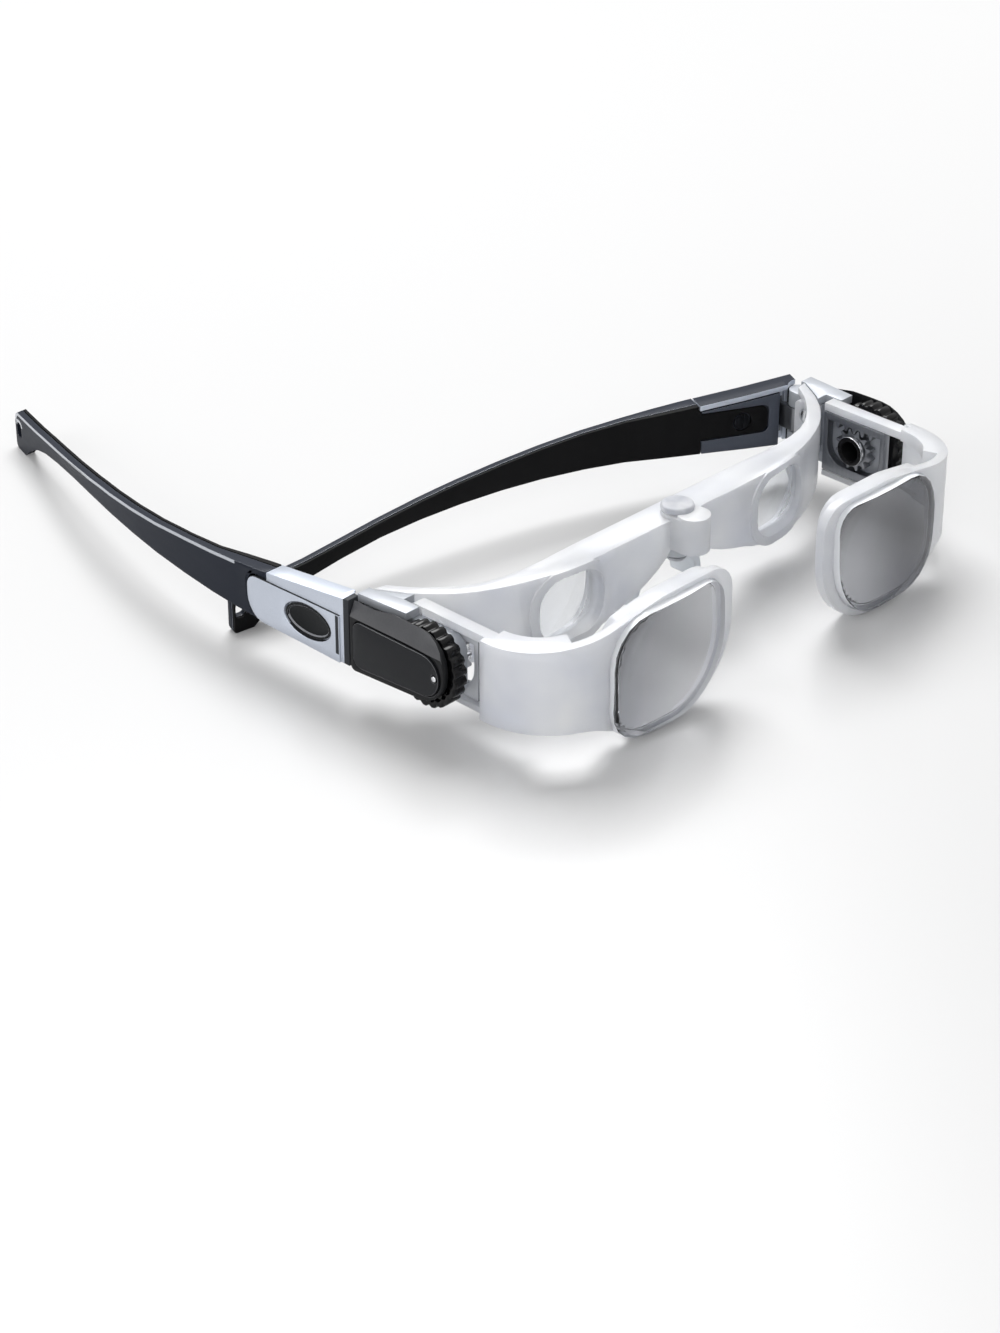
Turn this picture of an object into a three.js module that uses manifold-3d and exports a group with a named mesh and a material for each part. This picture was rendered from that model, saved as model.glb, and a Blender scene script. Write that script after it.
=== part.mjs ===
// Binocular glasses: low-power viewing glasses with one focusing objective in front of each eye.
// Millimetres, +Z up. The wearer looks along -Y and the temples run along +Y.
// While the pieces are built, x = 0 is the plane of symmetry, y = 0 is the axle of the focus
// wheels and z = 0 is the table. The last lines move the origin to the top of the nose post.
// Every side piece is drawn once, for the wearer's left side (+X), and mirrored for the right.

import * as THREE from 'three';
import { mergeVertices } from 'three/addons/utils/BufferGeometryUtils.js';
import Module from 'manifold-3d';

const wasm = await Module();
wasm.setup();

// Driving sizes
const pupilDistance = 62;
const objectiveReach = 29.6;
const seamReach = 18.7;
const sideReach = 69.4;
const housingBottom = 8.2;
const housingTop = 24;
const templeLength = 134.5;
const templeTipInset = 25.4;
const wheelThickness = 3.2;
const pinionTeeth = 12;
const focusTravel = 2;

// Sizes that follow the height of the housing, from the table up
const housingHeight = housingTop - housingBottom;
const axisDrop = 0.5;
const axisHeight = (housingBottom + housingTop) / 2 - axisDrop;
const wheelRadius = housingHeight * 0.5411;
const pinionRadius = housingHeight * 0.2658;

// Clearances: between pieces that touch, and past the far side of a cut
const gap = 0.3;
const overrun = 1;
const arcSteps = 5;
const lensSteps = 3;
const cornerShare = 0.495;

// Layers of a side, from the outer face inwards
const coverWall = 1.4;
const webThickness = 2.6;
const slideThickness = 1.9;
const tineLap = 0.7;
const carrierRoom = 0.5;
const hingeInset = 0.2;
const coverInner = sideReach - coverWall;
const wheelOuter = coverInner - gap;
const wheelInner = wheelOuter - wheelThickness;
const webOuter = wheelInner - gap;
const webInner = webOuter - webThickness;
const slideOuter = webInner - gap;
const slideInner = slideOuter - slideThickness;
const tineOuter = webInner + tineLap;
const carrierReach = wheelInner - carrierRoom;
const hingeReach = webOuter - hingeInset;

// Heights of the sliding tines above and below the end piece
const tineHeight = 1.7;
const lowTineHeight = 1.2;
const webTop = housingTop - tineHeight - gap;
const webBottom = housingBottom + gap;
const eyeX = pupilDistance / 2;

// Geometry helpers
function toSolid(geometry) {
  const bare = geometry.index ? geometry.toNonIndexed() : geometry.clone();
  bare.deleteAttribute('normal');
  bare.deleteAttribute('uv');
  const merged = mergeVertices(bare, mergeDistance);
  const mesh = new wasm.Mesh({
    numProp: 3,
    vertProperties: new Float32Array(merged.attributes.position.array),
    triVerts: new Uint32Array(merged.index.array),
  });
  return new wasm.Manifold(mesh);
}

function toGeometry(solid) {
  const mesh = solid.getMesh();
  const geometry = new THREE.BufferGeometry();
  geometry.setAttribute('position', new THREE.BufferAttribute(mesh.vertProperties, 3));
  geometry.setIndex(new THREE.BufferAttribute(mesh.triVerts, 1));
  return geometry;
}

const mergeDistance = 1e-4;
const planAxes = new THREE.Matrix4();
const frontAxes = new THREE.Matrix4().makeBasis(
  new THREE.Vector3(1, 0, 0),
  new THREE.Vector3(0, 0, 1),
  new THREE.Vector3(0, -1, 0),
);
const sideAxes = new THREE.Matrix4().makeBasis(
  new THREE.Vector3(0, 1, 0),
  new THREE.Vector3(0, 0, 1),
  new THREE.Vector3(1, 0, 0),
);

function prism(points, axes, depth) {
  const shape = new THREE.Shape(points.map(([a, b]) => new THREE.Vector2(a, b)));
  const geometry = new THREE.ExtrudeGeometry(shape, { depth, bevelEnabled: false });
  return geometry.applyMatrix4(axes);
}

// Outline in (x, y), pushed up from one height to another
function planPrism(points, low, high) {
  return toSolid(prism(points, planAxes, high - low).translate(0, 0, low));
}

// Outline in (x, z), pushed along Y
function frontPrism(points, front, rear) {
  return toSolid(prism(points, frontAxes, rear - front).translate(0, rear, 0));
}

// Outline in (y, z), pushed along X
function sidePrism(points, inner, outer) {
  return toSolid(prism(points, sideAxes, outer - inner).translate(inner, 0, 0));
}

function arc(centreA, centreB, radius, from, to, steps) {
  const points = [];
  for (let i = 0; i <= steps; i += 1) {
    const angle = from + ((to - from) * i) / steps;
    points.push([centreA + radius * Math.cos(angle), centreB + radius * Math.sin(angle)]);
  }
  return points;
}

function circle(centreA, centreB, radius, steps = 24) {
  return arc(centreA, centreB, radius, 0, 2 * Math.PI, steps).slice(0, steps);
}

function box(low, high) {
  return [[low[0], low[1]], [high[0], low[1]], [high[0], high[1]], [low[0], high[1]]];
}

// Polygon of corners [a, b, radius], each corner rounded by an arc that its shorter side can hold
function rounded(corners, steps = arcSteps) {
  const points = [];
  corners.forEach(([a, b, wanted], i) => {
    const here = new THREE.Vector2(a, b);
    const before = corners[(i + corners.length - 1) % corners.length];
    const after = corners[(i + 1) % corners.length];
    const toBefore = new THREE.Vector2(before[0], before[1]).sub(here);
    const toAfter = new THREE.Vector2(after[0], after[1]).sub(here);
    const shorter = Math.min(toBefore.length(), toAfter.length());
    toBefore.normalize();
    toAfter.normalize();
    const half = Math.acos(THREE.MathUtils.clamp(toBefore.dot(toAfter), -1, 1)) / 2;
    const radius = Math.min(wanted, shorter * cornerShare * Math.tan(half));
    if (wanted === 0 || Math.cos(half) < mergeDistance) {
      points.push([a, b]);
      return;
    }
    const middle = toBefore.clone().add(toAfter).normalize();
    const centre = here.clone().addScaledVector(middle, radius / Math.sin(half));
    const start = here.clone().addScaledVector(toBefore, radius / Math.tan(half)).sub(centre);
    const turn = toAfter.cross(toBefore) < 0 ? -1 : 1;
    for (let k = 0; k <= steps; k += 1) {
      const angle = start.angle() + (turn * (Math.PI - 2 * half) * k) / steps;
      points.push([centre.x + radius * Math.cos(angle), centre.y + radius * Math.sin(angle)]);
    }
  });
  return points;
}

// Smooth curve through [a, b] points
function curve(points, steps) {
  const spline = new THREE.SplineCurve(points.map(([a, b]) => new THREE.Vector2(a, b)));
  return spline.getPoints(steps).map((point) => [point.x, point.y]);
}

// The same curve moved sideways, to its left where distanceAt gives a positive distance
function offsetBy(points, distanceAt) {
  return points.map(([a, b], i) => {
    const before = points[Math.max(i - 1, 0)];
    const after = points[Math.min(i + 1, points.length - 1)];
    const along = new THREE.Vector2(after[0] - before[0], after[1] - before[1]).normalize();
    const distance = distanceAt(b);
    return [a - along.y * distance, b + along.x * distance];
  });
}

function offset(points, distance) {
  return offsetBy(points, () => distance);
}

function band(edge, otherEdge) {
  return [...edge, ...[...otherEdge].reverse()];
}

// Closed skin over rings that have the same number of [x, y, z] points
function loft(rings) {
  const size = rings[0].length;
  const index = [];
  rings.slice(1).forEach((_, r) => {
    for (let i = 0; i < size; i += 1) {
      const next = (i + 1) % size;
      const low = r * size;
      const high = low + size;
      index.push(low + i, low + next, high + next, low + i, high + next, high + i);
    }
  });
  const last = (rings.length - 1) * size;
  for (let i = 1; i < size - 1; i += 1) {
    index.push(0, i + 1, i, last, last + i, last + i + 1);
  }
  const geometry = new THREE.BufferGeometry();
  geometry.setAttribute('position', new THREE.Float32BufferAttribute(rings.flat(2), 3));
  geometry.setIndex(index);
  return toSolid(geometry);
}

// Turned piece about an axis along +Z, from [radius, height] points that start and end on the axis
function turned(points, steps = 24) {
  return new THREE.LatheGeometry(points.map(([r, h]) => new THREE.Vector2(r, h)), steps)
    .rotateX(Math.PI / 2);
}

const alongX = new THREE.Matrix4().makeRotationY(Math.PI / 2);
const alongY = new THREE.Matrix4().makeRotationX(-Math.PI / 2);

function unite(solids) {
  return solids.reduce((sum, solid) => sum.add(solid));
}

function mirrored(solid) {
  const geometry = toGeometry(solid).scale(-1, 1, 1);
  const index = geometry.index.array;
  for (let i = 0; i < index.length; i += 3) {
    [index[i], index[i + 1]] = [index[i + 1], index[i]];
  }
  return geometry;
}

// Finishes, with the colours of the photograph
function finish(color, roughness, metalness, opacity = 1) {
  return new THREE.MeshStandardMaterial({
    color, roughness, metalness, opacity, transparent: opacity < 1,
  });
}

const frosted = finish('#e6e9ee', 0.45, 0, 0.8);
const clear = finish('#c8d2da', 0.05, 0, 0.35);
const soft = finish('#c4c9d0', 0.5, 0, 0.8);
const charcoal = finish('#26282b', 0.5, 0);
const gloss = finish('#0d0d0f', 0.25, 0);
const silver = finish('#c3cbd8', 0.4, 0.5);
const slate = finish('#454c57', 0.4, 0.5);
const rubber = finish('#15161a', 0.7, 0);
const gunmetal = finish('#54565c', 0.4, 0.7);
const steel = finish('#c8cacd', 0.25, 1);

// Eyepiece frame: one moulded strip with both lens rings and the bridge
const strip = {
  wall: 2.2,
  brimHeight: 1.6,
  lapLength: 4.4,
  steps: 16,
  frontShares: [
    [0, -0.235], [0.2, -0.235], [0.4, -0.23], [0.56, -0.165], [0.7, -0.02],
    [0.81, 0.17], [0.89, 0.4], [0.945, 0.63],
  ],
  brimShares: [
    [0, 0.14], [0.2, 0.14], [0.4, 0.14], [0.58, 0.13], [0.73, 0.22],
    [0.83, 0.42], [0.905, 0.66], [0.955, 0.9],
  ],
  brimEndShares: [0.995, 0.93],
  underShares: [
    [0, 0.725], [0.045, 0.725], [0.07, 0.66], [0.14, 0.54], [0.22, 0.455], [0.31, 0.39],
    [0.37, 0.335], [0.5, 0.29], [0.66, 0.31], [0.8, 0.36], [1.1, 0.37],
  ],
};
const lensWindow = { width: 16, height: 14, corner: 5.5, rimHeight: 1.9, seat: 0.8 };
const eyeRing = { proud: 0.45, rear: 1.4, ledgeY: -1.6 };
const eyeLensThickness = 2.6;

function alongStrip(shares) {
  return shares.map(([across, back]) => [across * hingeReach, back * seamReach]);
}

function stripFront() {
  return curve(alongStrip(strip.frontShares), strip.steps);
}

function brimOutline(grow) {
  const end = alongStrip([strip.brimEndShares])[0];
  const front = offset([...stripFront(), end], -grow);
  const rear = offset(curve(alongStrip(strip.brimShares), strip.steps), grow);
  return band(front, rear);
}

function lensOutline(grow) {
  const halfWidth = lensWindow.width / 2 + grow;
  const halfHeight = lensWindow.height / 2 + grow;
  const corner = lensWindow.corner + grow;
  return rounded([
    [eyeX - halfWidth, axisHeight - halfHeight, corner],
    [eyeX + halfWidth, axisHeight - halfHeight, corner],
    [eyeX + halfWidth, axisHeight + halfHeight, corner],
    [eyeX - halfWidth, axisHeight + halfHeight, corner],
  ]);
}

const boss = { radius: 3.4, rearY: -3.1, frontY: -7.5, headroom: 0.8, drop: 6.4 };
const nosePost = { radius: 1.8, head: 1.3, barb: 0.6, barbLength: 0.9 };
const bridgeUnder = strip.underShares[0][1] * housingTop;
const postTop = housingTop + boss.headroom + gap + nosePost.head;

function bridgeBoss() {
  const sides = [
    [boss.radius, boss.frontY], [boss.radius, boss.rearY],
    [-boss.radius, boss.rearY], [-boss.radius, boss.frontY],
  ];
  const low = housingTop - boss.drop;
  const high = housingTop + boss.headroom;
  const front = planPrism(circle(0, boss.frontY, boss.radius), low, high + nosePost.head / 2);
  const rear = planPrism(circle(0, boss.rearY, boss.radius), low, high);
  const headRoom = planPrism(circle(0, boss.rearY, boss.radius + gap), high, postTop);
  return unite([front, rear, planPrism([...sides].reverse(), low, high)]).subtract(headRoom);
}

function halfStrip() {
  const front = stripFront();
  const wall = planPrism(band(front, offset(front, strip.wall)), 0, housingTop);
  const underPoints = strip.underShares.map(([u, h]) => [u * hingeReach, h * housingTop]);
  const under = curve(underPoints, strip.steps);
  const outline = [...under, [sideReach + overrun, housingTop], [0, housingTop]];
  const reach = seamReach + objectiveReach;
  const trimmed = wall.intersect(frontPrism(outline, -reach, reach));
  const brim = planPrism(brimOutline(0), housingTop - strip.brimHeight, housingTop);
  const lapRear = front[front.length - 1][1] + strip.lapLength;
  const lapFront = slideHalf + focusTravel + gap;
  const lapLow = webBottom + strip.wall;
  const lap = sidePrism(
    rounded([[lapFront, lapLow, 0], [lapRear, lapLow, 1], [lapRear, webTop, 1], [lapFront, webTop, 0]]),
    slideInner,
    slideOuter,
  );
  const screwSeats = [-1, 1].map((side) => {
    const height = axisHeight + side * frameScrew.spread;
    const through = circle(lapScrewY(), height, frameScrew.radius + gap, 12);
    const sunk = circle(lapScrewY(), height, frameScrew.head + gap, 16);
    return sidePrism(through, 0, sideReach).add(sidePrism(sunk, 0, frameScrewSeat + gap));
  });
  const face = offset(front, -eyeRing.proud);
  const behindFace = planPrism([...face, [hingeReach, seamReach], [0, seamReach]], 0, housingTop);
  const ring = frontPrism(lensOutline(lensWindow.rimHeight), -reach, eyeRing.rear)
    .intersect(behindFace);
  return unite([trimmed, brim, ring, lap]).subtract(unite(screwSeats));
}

function eyepieceFrame() {
  const half = halfStrip();
  let solid = half.add(toSolid(mirrored(half))).add(bridgeBoss());
  const bore = nosePost.radius + gap;
  solid = solid.subtract(planPrism(circle(0, boss.rearY, bore), 0, postTop));
  const reach = seamReach + objectiveReach;
  const window = frontPrism(lensOutline(0), -reach, reach);
  const pocket = frontPrism(lensOutline(lensWindow.seat + gap), eyeRing.ledgeY, reach);
  const betweenLaps = frontPrism(box([0, 0], [hingeReach - strip.wall, postTop]), -reach, reach);
  const cut = window.add(pocket).intersect(betweenLaps);
  return toGeometry(solid.subtract(cut).subtract(toSolid(mirrored(cut))));
}

// A lens body about the optical axis: sag is the hollow (positive) or bulge (negative) of a face
function lensFace(radius, sag, height, steps) {
  const points = [];
  for (let i = 0; i <= steps; i += 1) {
    const share = i / steps;
    points.push([radius * share, height + sag * share * share]);
  }
  return points;
}

function lensBody(radius, thickness, frontSag, rearSag) {
  const front = lensFace(radius, frontSag, 0, lensSteps);
  const rear = lensFace(radius, rearSag, thickness, lensSteps).reverse();
  return turned([...front, ...rear]);
}

// Eyepiece lens: hollow on both faces
const eyeLens = { sag: 0.75 };

function eyepieceLens() {
  const front = eyeRing.ledgeY + gap;
  const radius = Math.hypot(lensWindow.width, lensWindow.height) / 2 + lensWindow.seat;
  const body = lensBody(radius, eyeLensThickness - 2 * eyeLens.sag, -eyeLens.sag, eyeLens.sag)
    .applyMatrix4(alongY)
    .translate(eyeX, front + eyeLens.sag, axisHeight);
  const outline = frontPrism(lensOutline(lensWindow.seat), -objectiveReach, seamReach);
  return toSolid(body).intersect(outline);
}

// Objective carrier: front ring, curved side wall and the fork that slides on the end piece
const carrier = {
  wall: 2,
  noseReach: 13.7,
  bendRear: 12.6,
  sideRear: 11.1,
  rise: 4.7,
  rim: 2.1,
  ringDepth: 3.8,
  noseRim: 4.4,
  shelfWidth: 5,
  topShelfAngle: 1.05,
  lowShelfAngle: 0.5,
  rebate: 2.1,
  footBack: 12,
  shoulderBack: 13,
  flareRun: 5,
};
const objectiveLensSize = { seat: 0.9, thickness: 5.2, frontSag: 2.4, rearSag: 0.8 };
const wallBottom = housingBottom - lowTineHeight;
const carrierTop = housingTop + carrier.rise;
const bend = objectiveReach - carrier.bendRear;
const bendY = -carrier.bendRear;
const bendX = carrierReach - bend;
const windowRoom = 0.8;
const windowReach = pinionRadius + focusTravel + windowRoom;

const windowCorners = { noseAcross: 12.6, noseUp: 14.9, sideLow: 12.5, sideHigh: 8, noseHigh: 4.2 };

// Quarter ellipse at the window's low corner on the nose side, from the nose edge to the bottom
function noseLowCorner(growAcross, growUp) {
  const { noseAcross, noseUp } = windowCorners;
  const centreX = carrier.noseReach + carrier.noseRim + noseAcross;
  const centreZ = carrier.rim + noseUp;
  return arc(0, 0, 1, Math.PI, 1.5 * Math.PI, 2 * arcSteps).map(([a, b]) => [
    centreX + a * (noseAcross + growAcross),
    centreZ + b * (noseUp + growUp),
    0,
  ]);
}

function objectiveOutline(grow) {
  const inner = carrier.noseReach + carrier.noseRim - grow;
  const outer = bendX + grow;
  const low = carrier.rim - grow;
  const high = carrierTop - carrier.rim + grow;
  const { sideLow, sideHigh, noseHigh } = windowCorners;
  return rounded([
    ...noseLowCorner(grow, grow), [outer, low, sideLow + grow],
    [outer, high, sideHigh + grow], [inner, high, noseHigh + grow],
  ]);
}

const groove = { inset: 1.8, width: 0.7, depth: 0.5, from: -0.89, to: -0.38 };

function carrierElevation() {
  const end = carrierReach + overrun;
  const { rim, noseRim, noseReach, footBack, flareRun, shoulderBack } = carrier;
  const { noseHigh, sideLow } = windowCorners;
  return rounded([
    ...noseLowCorner(noseRim, rim), [bendX - footBack, 0, sideLow],
    [bendX + flareRun, wallBottom, sideLow], [end, wallBottom, 0],
    [end, housingTop, 0], [bendX - shoulderBack, carrierTop, bend],
    [noseReach, carrierTop, noseHigh + (rim + noseRim) / 2],
  ]);
}

function carrierSweep(width, angle) {
  const outer = arc(bendX, bendY, bend, -angle, 0, 2 * arcSteps);
  const inner = arc(bendX, bendY, bend - width, -angle, 0, 2 * arcSteps);
  return band(outer, inner);
}

function objectiveCarrier() {
  const quarter = Math.PI / 2;
  const front = -objectiveReach;
  const outerEdge = [
    [0, front],
    ...arc(bendX, bendY, bend, -quarter, 0, 3 * arcSteps),
    [carrierReach, -carrier.sideRear],
  ];
  const innerEdge = [
    [0, front + carrier.wall],
    ...arc(bendX, bendY, bend - carrier.wall, -quarter, 0, 3 * arcSteps),
    [carrierReach - carrier.wall, -carrier.sideRear],
  ];
  const wall = planPrism(band(outerEdge, innerEdge), 0, carrierTop);
  const filled = planPrism([...outerEdge, [0, -carrier.sideRear]], 0, carrierTop);
  const ring = frontPrism(objectiveOutline(carrier.rim), front, front + carrier.ringDepth);
  const topShelf = planPrism(
    carrierSweep(carrier.shelfWidth, carrier.topShelfAngle),
    housingTop - tineHeight,
    carrierTop,
  );
  const lowShelf = planPrism(
    carrierSweep(carrier.shelfWidth, carrier.lowShelfAngle),
    wallBottom,
    housingBottom,
  );
  const shell = unite([wall, ring, topShelf, lowShelf])
    .intersect(filled)
    .intersect(frontPrism(carrierElevation(), front, overrun - carrier.sideRear));
  const tineEnds = [[slideInner, bendY - carrier.shelfWidth], [tineOuter, slideHalf]];
  const topTine = planPrism(box(...tineEnds), housingTop - tineHeight, housingTop);
  const lowTine = planPrism(box(...tineEnds), wallBottom, housingBottom);
  const window = frontPrism(objectiveOutline(0), front - overrun, bendY);
  const rebate = frontPrism(
    objectiveOutline(objectiveLensSize.seat + gap),
    front - overrun,
    front + carrier.rebate,
  );
  const grooveEdge = (radius) => arc(bendX, bendY, radius, groove.from, groove.to, arcSteps);
  const grooveOuter = bend - groove.inset;
  const cut = planPrism(
    band(grooveEdge(grooveOuter), grooveEdge(grooveOuter - groove.width)),
    carrierTop - groove.depth,
    carrierTop + overrun,
  );
  return unite([shell, topTine, lowTine]).subtract(window).subtract(rebate).subtract(cut);
}

function objectiveLens() {
  const { seat, thickness, frontSag, rearSag } = objectiveLensSize;
  const spanX = Math.max(bendX - eyeX, eyeX - carrier.noseReach - carrier.noseRim) + seat;
  const spanZ = axisHeight - carrier.rim + seat;
  const radius = Math.hypot(spanX, spanZ);
  const edge = -objectiveReach + carrier.rebate - gap;
  const body = toSolid(lensBody(radius, thickness, frontSag, -rearSag)
    .applyMatrix4(alongY)
    .translate(eyeX, edge + rearSag - thickness, axisHeight));
  const ahead = frontPrism(objectiveOutline(seat), -2 * objectiveReach, edge);
  const behind = frontPrism(objectiveOutline(-gap), edge, edge + rearSag);
  return body.intersect(ahead.add(behind));
}

// Focus slide: the rack plate between the tines of a carrier
const rack = { addendum: 0.5, dedendum: 0.6, flank: 0.36, thinning: 0.3 };
const slideBar = 1.1;
const slideHalf = windowReach + slideBar;
const toothPitch = (2 * Math.PI * pinionRadius) / pinionTeeth;

function toothHalf(beyondPitch) {
  return (toothPitch / 2 - rack.thinning) / 2 - beyondPitch * rack.flank;
}

function focusSlide() {
  const pitchLine = axisHeight + pinionRadius;
  const root = pitchLine + rack.dedendum;
  const tip = pitchLine - rack.addendum;
  const floor = axisHeight - pinionRadius - rack.addendum - gap;
  const plate = sidePrism(
    box([-slideHalf, webBottom], [slideHalf, webTop]),
    slideInner,
    slideOuter,
  );
  const corner = pinionRadius;
  const opening = sidePrism(
    rounded([
      [-windowReach, floor, corner], [windowReach, floor, corner],
      [windowReach, root, 0], [-windowReach, root, 0],
    ]),
    slideInner - overrun,
    slideOuter + overrun,
  );
  const teeth = [];
  const count = Math.floor((windowReach - toothHalf(-rack.dedendum)) / toothPitch);
  for (let k = -count; k <= count; k += 1) {
    const middle = k * toothPitch;
    const wide = toothHalf(-rack.dedendum);
    const narrow = toothHalf(rack.addendum);
    teeth.push(sidePrism([
      [middle - wide, root + rack.addendum], [middle - wide, root],
      [middle - narrow, tip], [middle + narrow, tip],
      [middle + wide, root], [middle + wide, root + rack.addendum],
    ], slideInner, slideOuter));
  }
  return unite([plate.subtract(opening), ...teeth]);
}

// Axle, pinion and wheel share one axis along X
const axle = { radius: 2.7, bore: 2.2, headRadius: 3.3, head: 0.9, tail: 0.8 };

function pinion() {
  const points = [];
  for (let k = 0; k < pinionTeeth; k += 1) {
    const middle = ((k + 0.5) * 2 * Math.PI) / pinionTeeth + Math.PI / 2;
    const stations = [-rack.dedendum, 0, rack.addendum];
    const flank = stations.map((out) => [pinionRadius + out, toothHalf(out) / (pinionRadius + out)]);
    const tooth = [
      ...flank.map(([r, a]) => [r, -a]),
      ...[...flank].reverse().map(([r, a]) => [r, a]),
    ];
    tooth.forEach(([r, a]) => {
      points.push([r * Math.cos(middle + a), axisHeight + r * Math.sin(middle + a)]);
    });
  }
  const body = sidePrism(points, slideInner, slideOuter);
  const bore = circle(0, axisHeight, axle.radius + gap);
  return body.subtract(sidePrism(bore, slideInner - overrun, slideOuter + overrun));
}

function focusAxle() {
  const headInner = slideInner - gap - axle.head;
  const headOuter = slideInner - gap;
  const tail = coverInner + axle.tail - gap;
  const profile = [
    [0, wheelInner], [axle.bore, wheelInner], [axle.bore, headInner], [axle.headRadius, headInner],
    [axle.headRadius, headOuter], [axle.radius, headOuter], [axle.radius, tail], [0, tail],
  ];
  return toSolid(turned(profile).applyMatrix4(alongX).translate(0, 0, axisHeight));
}

const scallops = { count: 22, depth: 0.7, share: 0.4 };
const wheelDish = { depth: 0.8, rim: 1.8 };

function wheelOutline() {
  const points = [];
  const step = (2 * Math.PI) / scallops.count;
  for (let k = 0; k < scallops.count; k += 1) {
    const start = k * step;
    const notch = scallops.share * step;
    points.push(...arc(0, axisHeight, wheelRadius, start, start + step - notch, 2));
    const valley = start + step - notch / 2;
    const low = wheelRadius - scallops.depth;
    points.push([low * Math.cos(valley), axisHeight + low * Math.sin(valley)]);
  }
  return points;
}

function focusWheel() {
  const body = sidePrism(wheelOutline(), wheelInner, wheelOuter);
  const bore = sidePrism(circle(0, axisHeight, axle.radius + gap), webInner, coverInner);
  const dish = sidePrism(
    circle(0, axisHeight, wheelRadius - scallops.depth - wheelDish.rim),
    wheelOuter - wheelDish.depth,
    coverInner,
  );
  const hub = sidePrism(circle(0, axisHeight, axle.headRadius + wheelDish.rim), wheelInner, wheelOuter);
  return body.subtract(dish).add(hub).subtract(bore);
}

// End piece: web that carries the tines and the axle, top shelf and two hinge ears
const knuckle = { radius: 2.2, ear: 3.6, pinRadius: 0.8 };
const shelf = { frontClear: 0.9, frontInset: 3.2, rearInset: 2.3 };
const endPiece = { front: 5.6, corner: 3.5 };
const seamRear = seamReach - gap;
const hingeSet = 0.2;
const hingeY = seamReach + hingeSet;
const shelfLow = housingTop - tineHeight;
const frameScrew = { radius: 0.8, head: 1.5, headHeight: 0.7, spread: 3.4, back: 3.1 };
const frameScrewSeat = slideInner + frameScrew.headHeight;

function hingeCylinder(radius, low, high) {
  return planPrism(circle(hingeReach, hingeY, radius), low, high);
}

function lapScrewY() {
  const front = stripFront();
  return front[front.length - 1][1] + strip.lapLength - frameScrew.back;
}

// Everything in front of the brim and outboard of it
function outsideBrim() {
  const end = alongStrip([strip.brimEndShares])[0];
  const edge = offset([...stripFront(), end], -gap);
  const last = edge[edge.length - 1][0];
  const limits = [
    [last, seamReach], [sideReach, seamReach], [sideReach, -objectiveReach], [0, -objectiveReach],
  ];
  return planPrism([...edge, ...limits], 0, housingTop + overrun);
}

function endPieceSolid() {
  const webRear = hingeY - knuckle.radius - gap;
  const web = sidePrism(
    rounded([
      [-endPiece.front, webBottom, endPiece.corner], [webRear, webBottom, 0],
      [webRear, webTop, 0], [-endPiece.front, webTop, endPiece.corner],
    ]),
    webInner,
    webOuter,
  );
  const shelfFront = Math.sqrt(wheelRadius ** 2 - (shelfLow - axisHeight) ** 2) + shelf.frontClear;
  const tineRear = slideHalf + focusTravel;
  const plan = [
    [slideInner, tineRear + gap], [tineOuter + gap, tineRear + gap],
    [tineOuter + gap, shelfFront], [sideReach - shelf.frontInset, shelfFront],
    [sideReach - shelf.rearInset, seamRear], [hingeReach, seamRear], [slideInner, seamRear],
  ];
  const top = planPrism(plan, shelfLow, housingTop).intersect(outsideBrim());
  const stepInner = tineOuter + gap;
  const step = planPrism([
    [stepInner, shelfFront + gap], [webOuter, shelfFront + gap],
    [webOuter, webRear], [stepInner, webRear],
  ], webTop - gap, shelfLow + gap).intersect(outsideBrim());
  const rows = [
    [webBottom + gap, webBottom + gap + knuckle.ear],
    [webTop - knuckle.ear, webTop],
  ];
  const ears = rows.map(([low, high]) => {
    const lug = planPrism([
      [webInner, webRear - knuckle.radius], [webOuter + knuckle.radius / 2, webRear - knuckle.radius],
      [hingeReach + knuckle.radius, hingeY], [hingeReach - knuckle.radius, hingeY],
    ], low, high);
    return lug.add(hingeCylinder(knuckle.radius, low, high));
  });
  const bearing = sidePrism(
    circle(0, axisHeight, axle.radius + gap),
    webInner - overrun,
    webOuter + overrun,
  );
  const pinBore = hingeCylinder(knuckle.pinRadius + gap, 0, webTop - knuckle.pinRadius);
  const screwBores = [-1, 1].map((side) => sidePrism(
    circle(lapScrewY(), axisHeight + side * frameScrew.spread, frameScrew.radius + gap, 12),
    webInner - overrun,
    webInner + webThickness / 2,
  ));
  return unite([web, top, step, ...ears])
    .subtract(unite([bearing, pinBore, ...screwBores]));
}

// Side cover: outer plate over the wheel, deeper box over the end piece
const cover = {
  wall: 1.2,
  noseReach: 6.9,
  noseDrop: 1.6,
  noseRadius: 6.6,
  creaseDrop: 4.1,
  rearSlope: 1.9,
  frontSlope: 1.15,
  frontTopY: 3,
  boxClear: 0.7,
  recess: 0.6,
};
const crease = housingTop - cover.creaseDrop;
const badge = {
  rearMargin: 1.2,
  frontMargin: 1,
  lowMargin: 1.4,
  proud: 0.4,
  corner: 2,
  noseCorner: 4.6,
};
const indexDot = { radius: 0.6, back: 2.1 };

function coverOutline() {
  const nose = cover.noseRadius;
  return rounded([
    [seamRear, housingBottom, cover.wall], [seamRear, housingTop, 0],
    [-cover.noseReach, housingTop, nose], [-cover.noseReach, housingBottom + cover.noseDrop, nose],
  ].reverse());
}

function badgeOutline(grow) {
  const rear = seamRear - badge.rearMargin + grow;
  const front = -cover.noseReach + badge.frontMargin - grow;
  const low = housingBottom + badge.lowMargin - grow;
  const high = crease - gap + grow;
  return rounded([
    [rear, low, badge.corner + grow], [rear, high, badge.corner + grow],
    [front, high, badge.noseCorner + grow], [front, low + cover.noseDrop, badge.noseCorner + grow],
  ].reverse());
}

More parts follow.
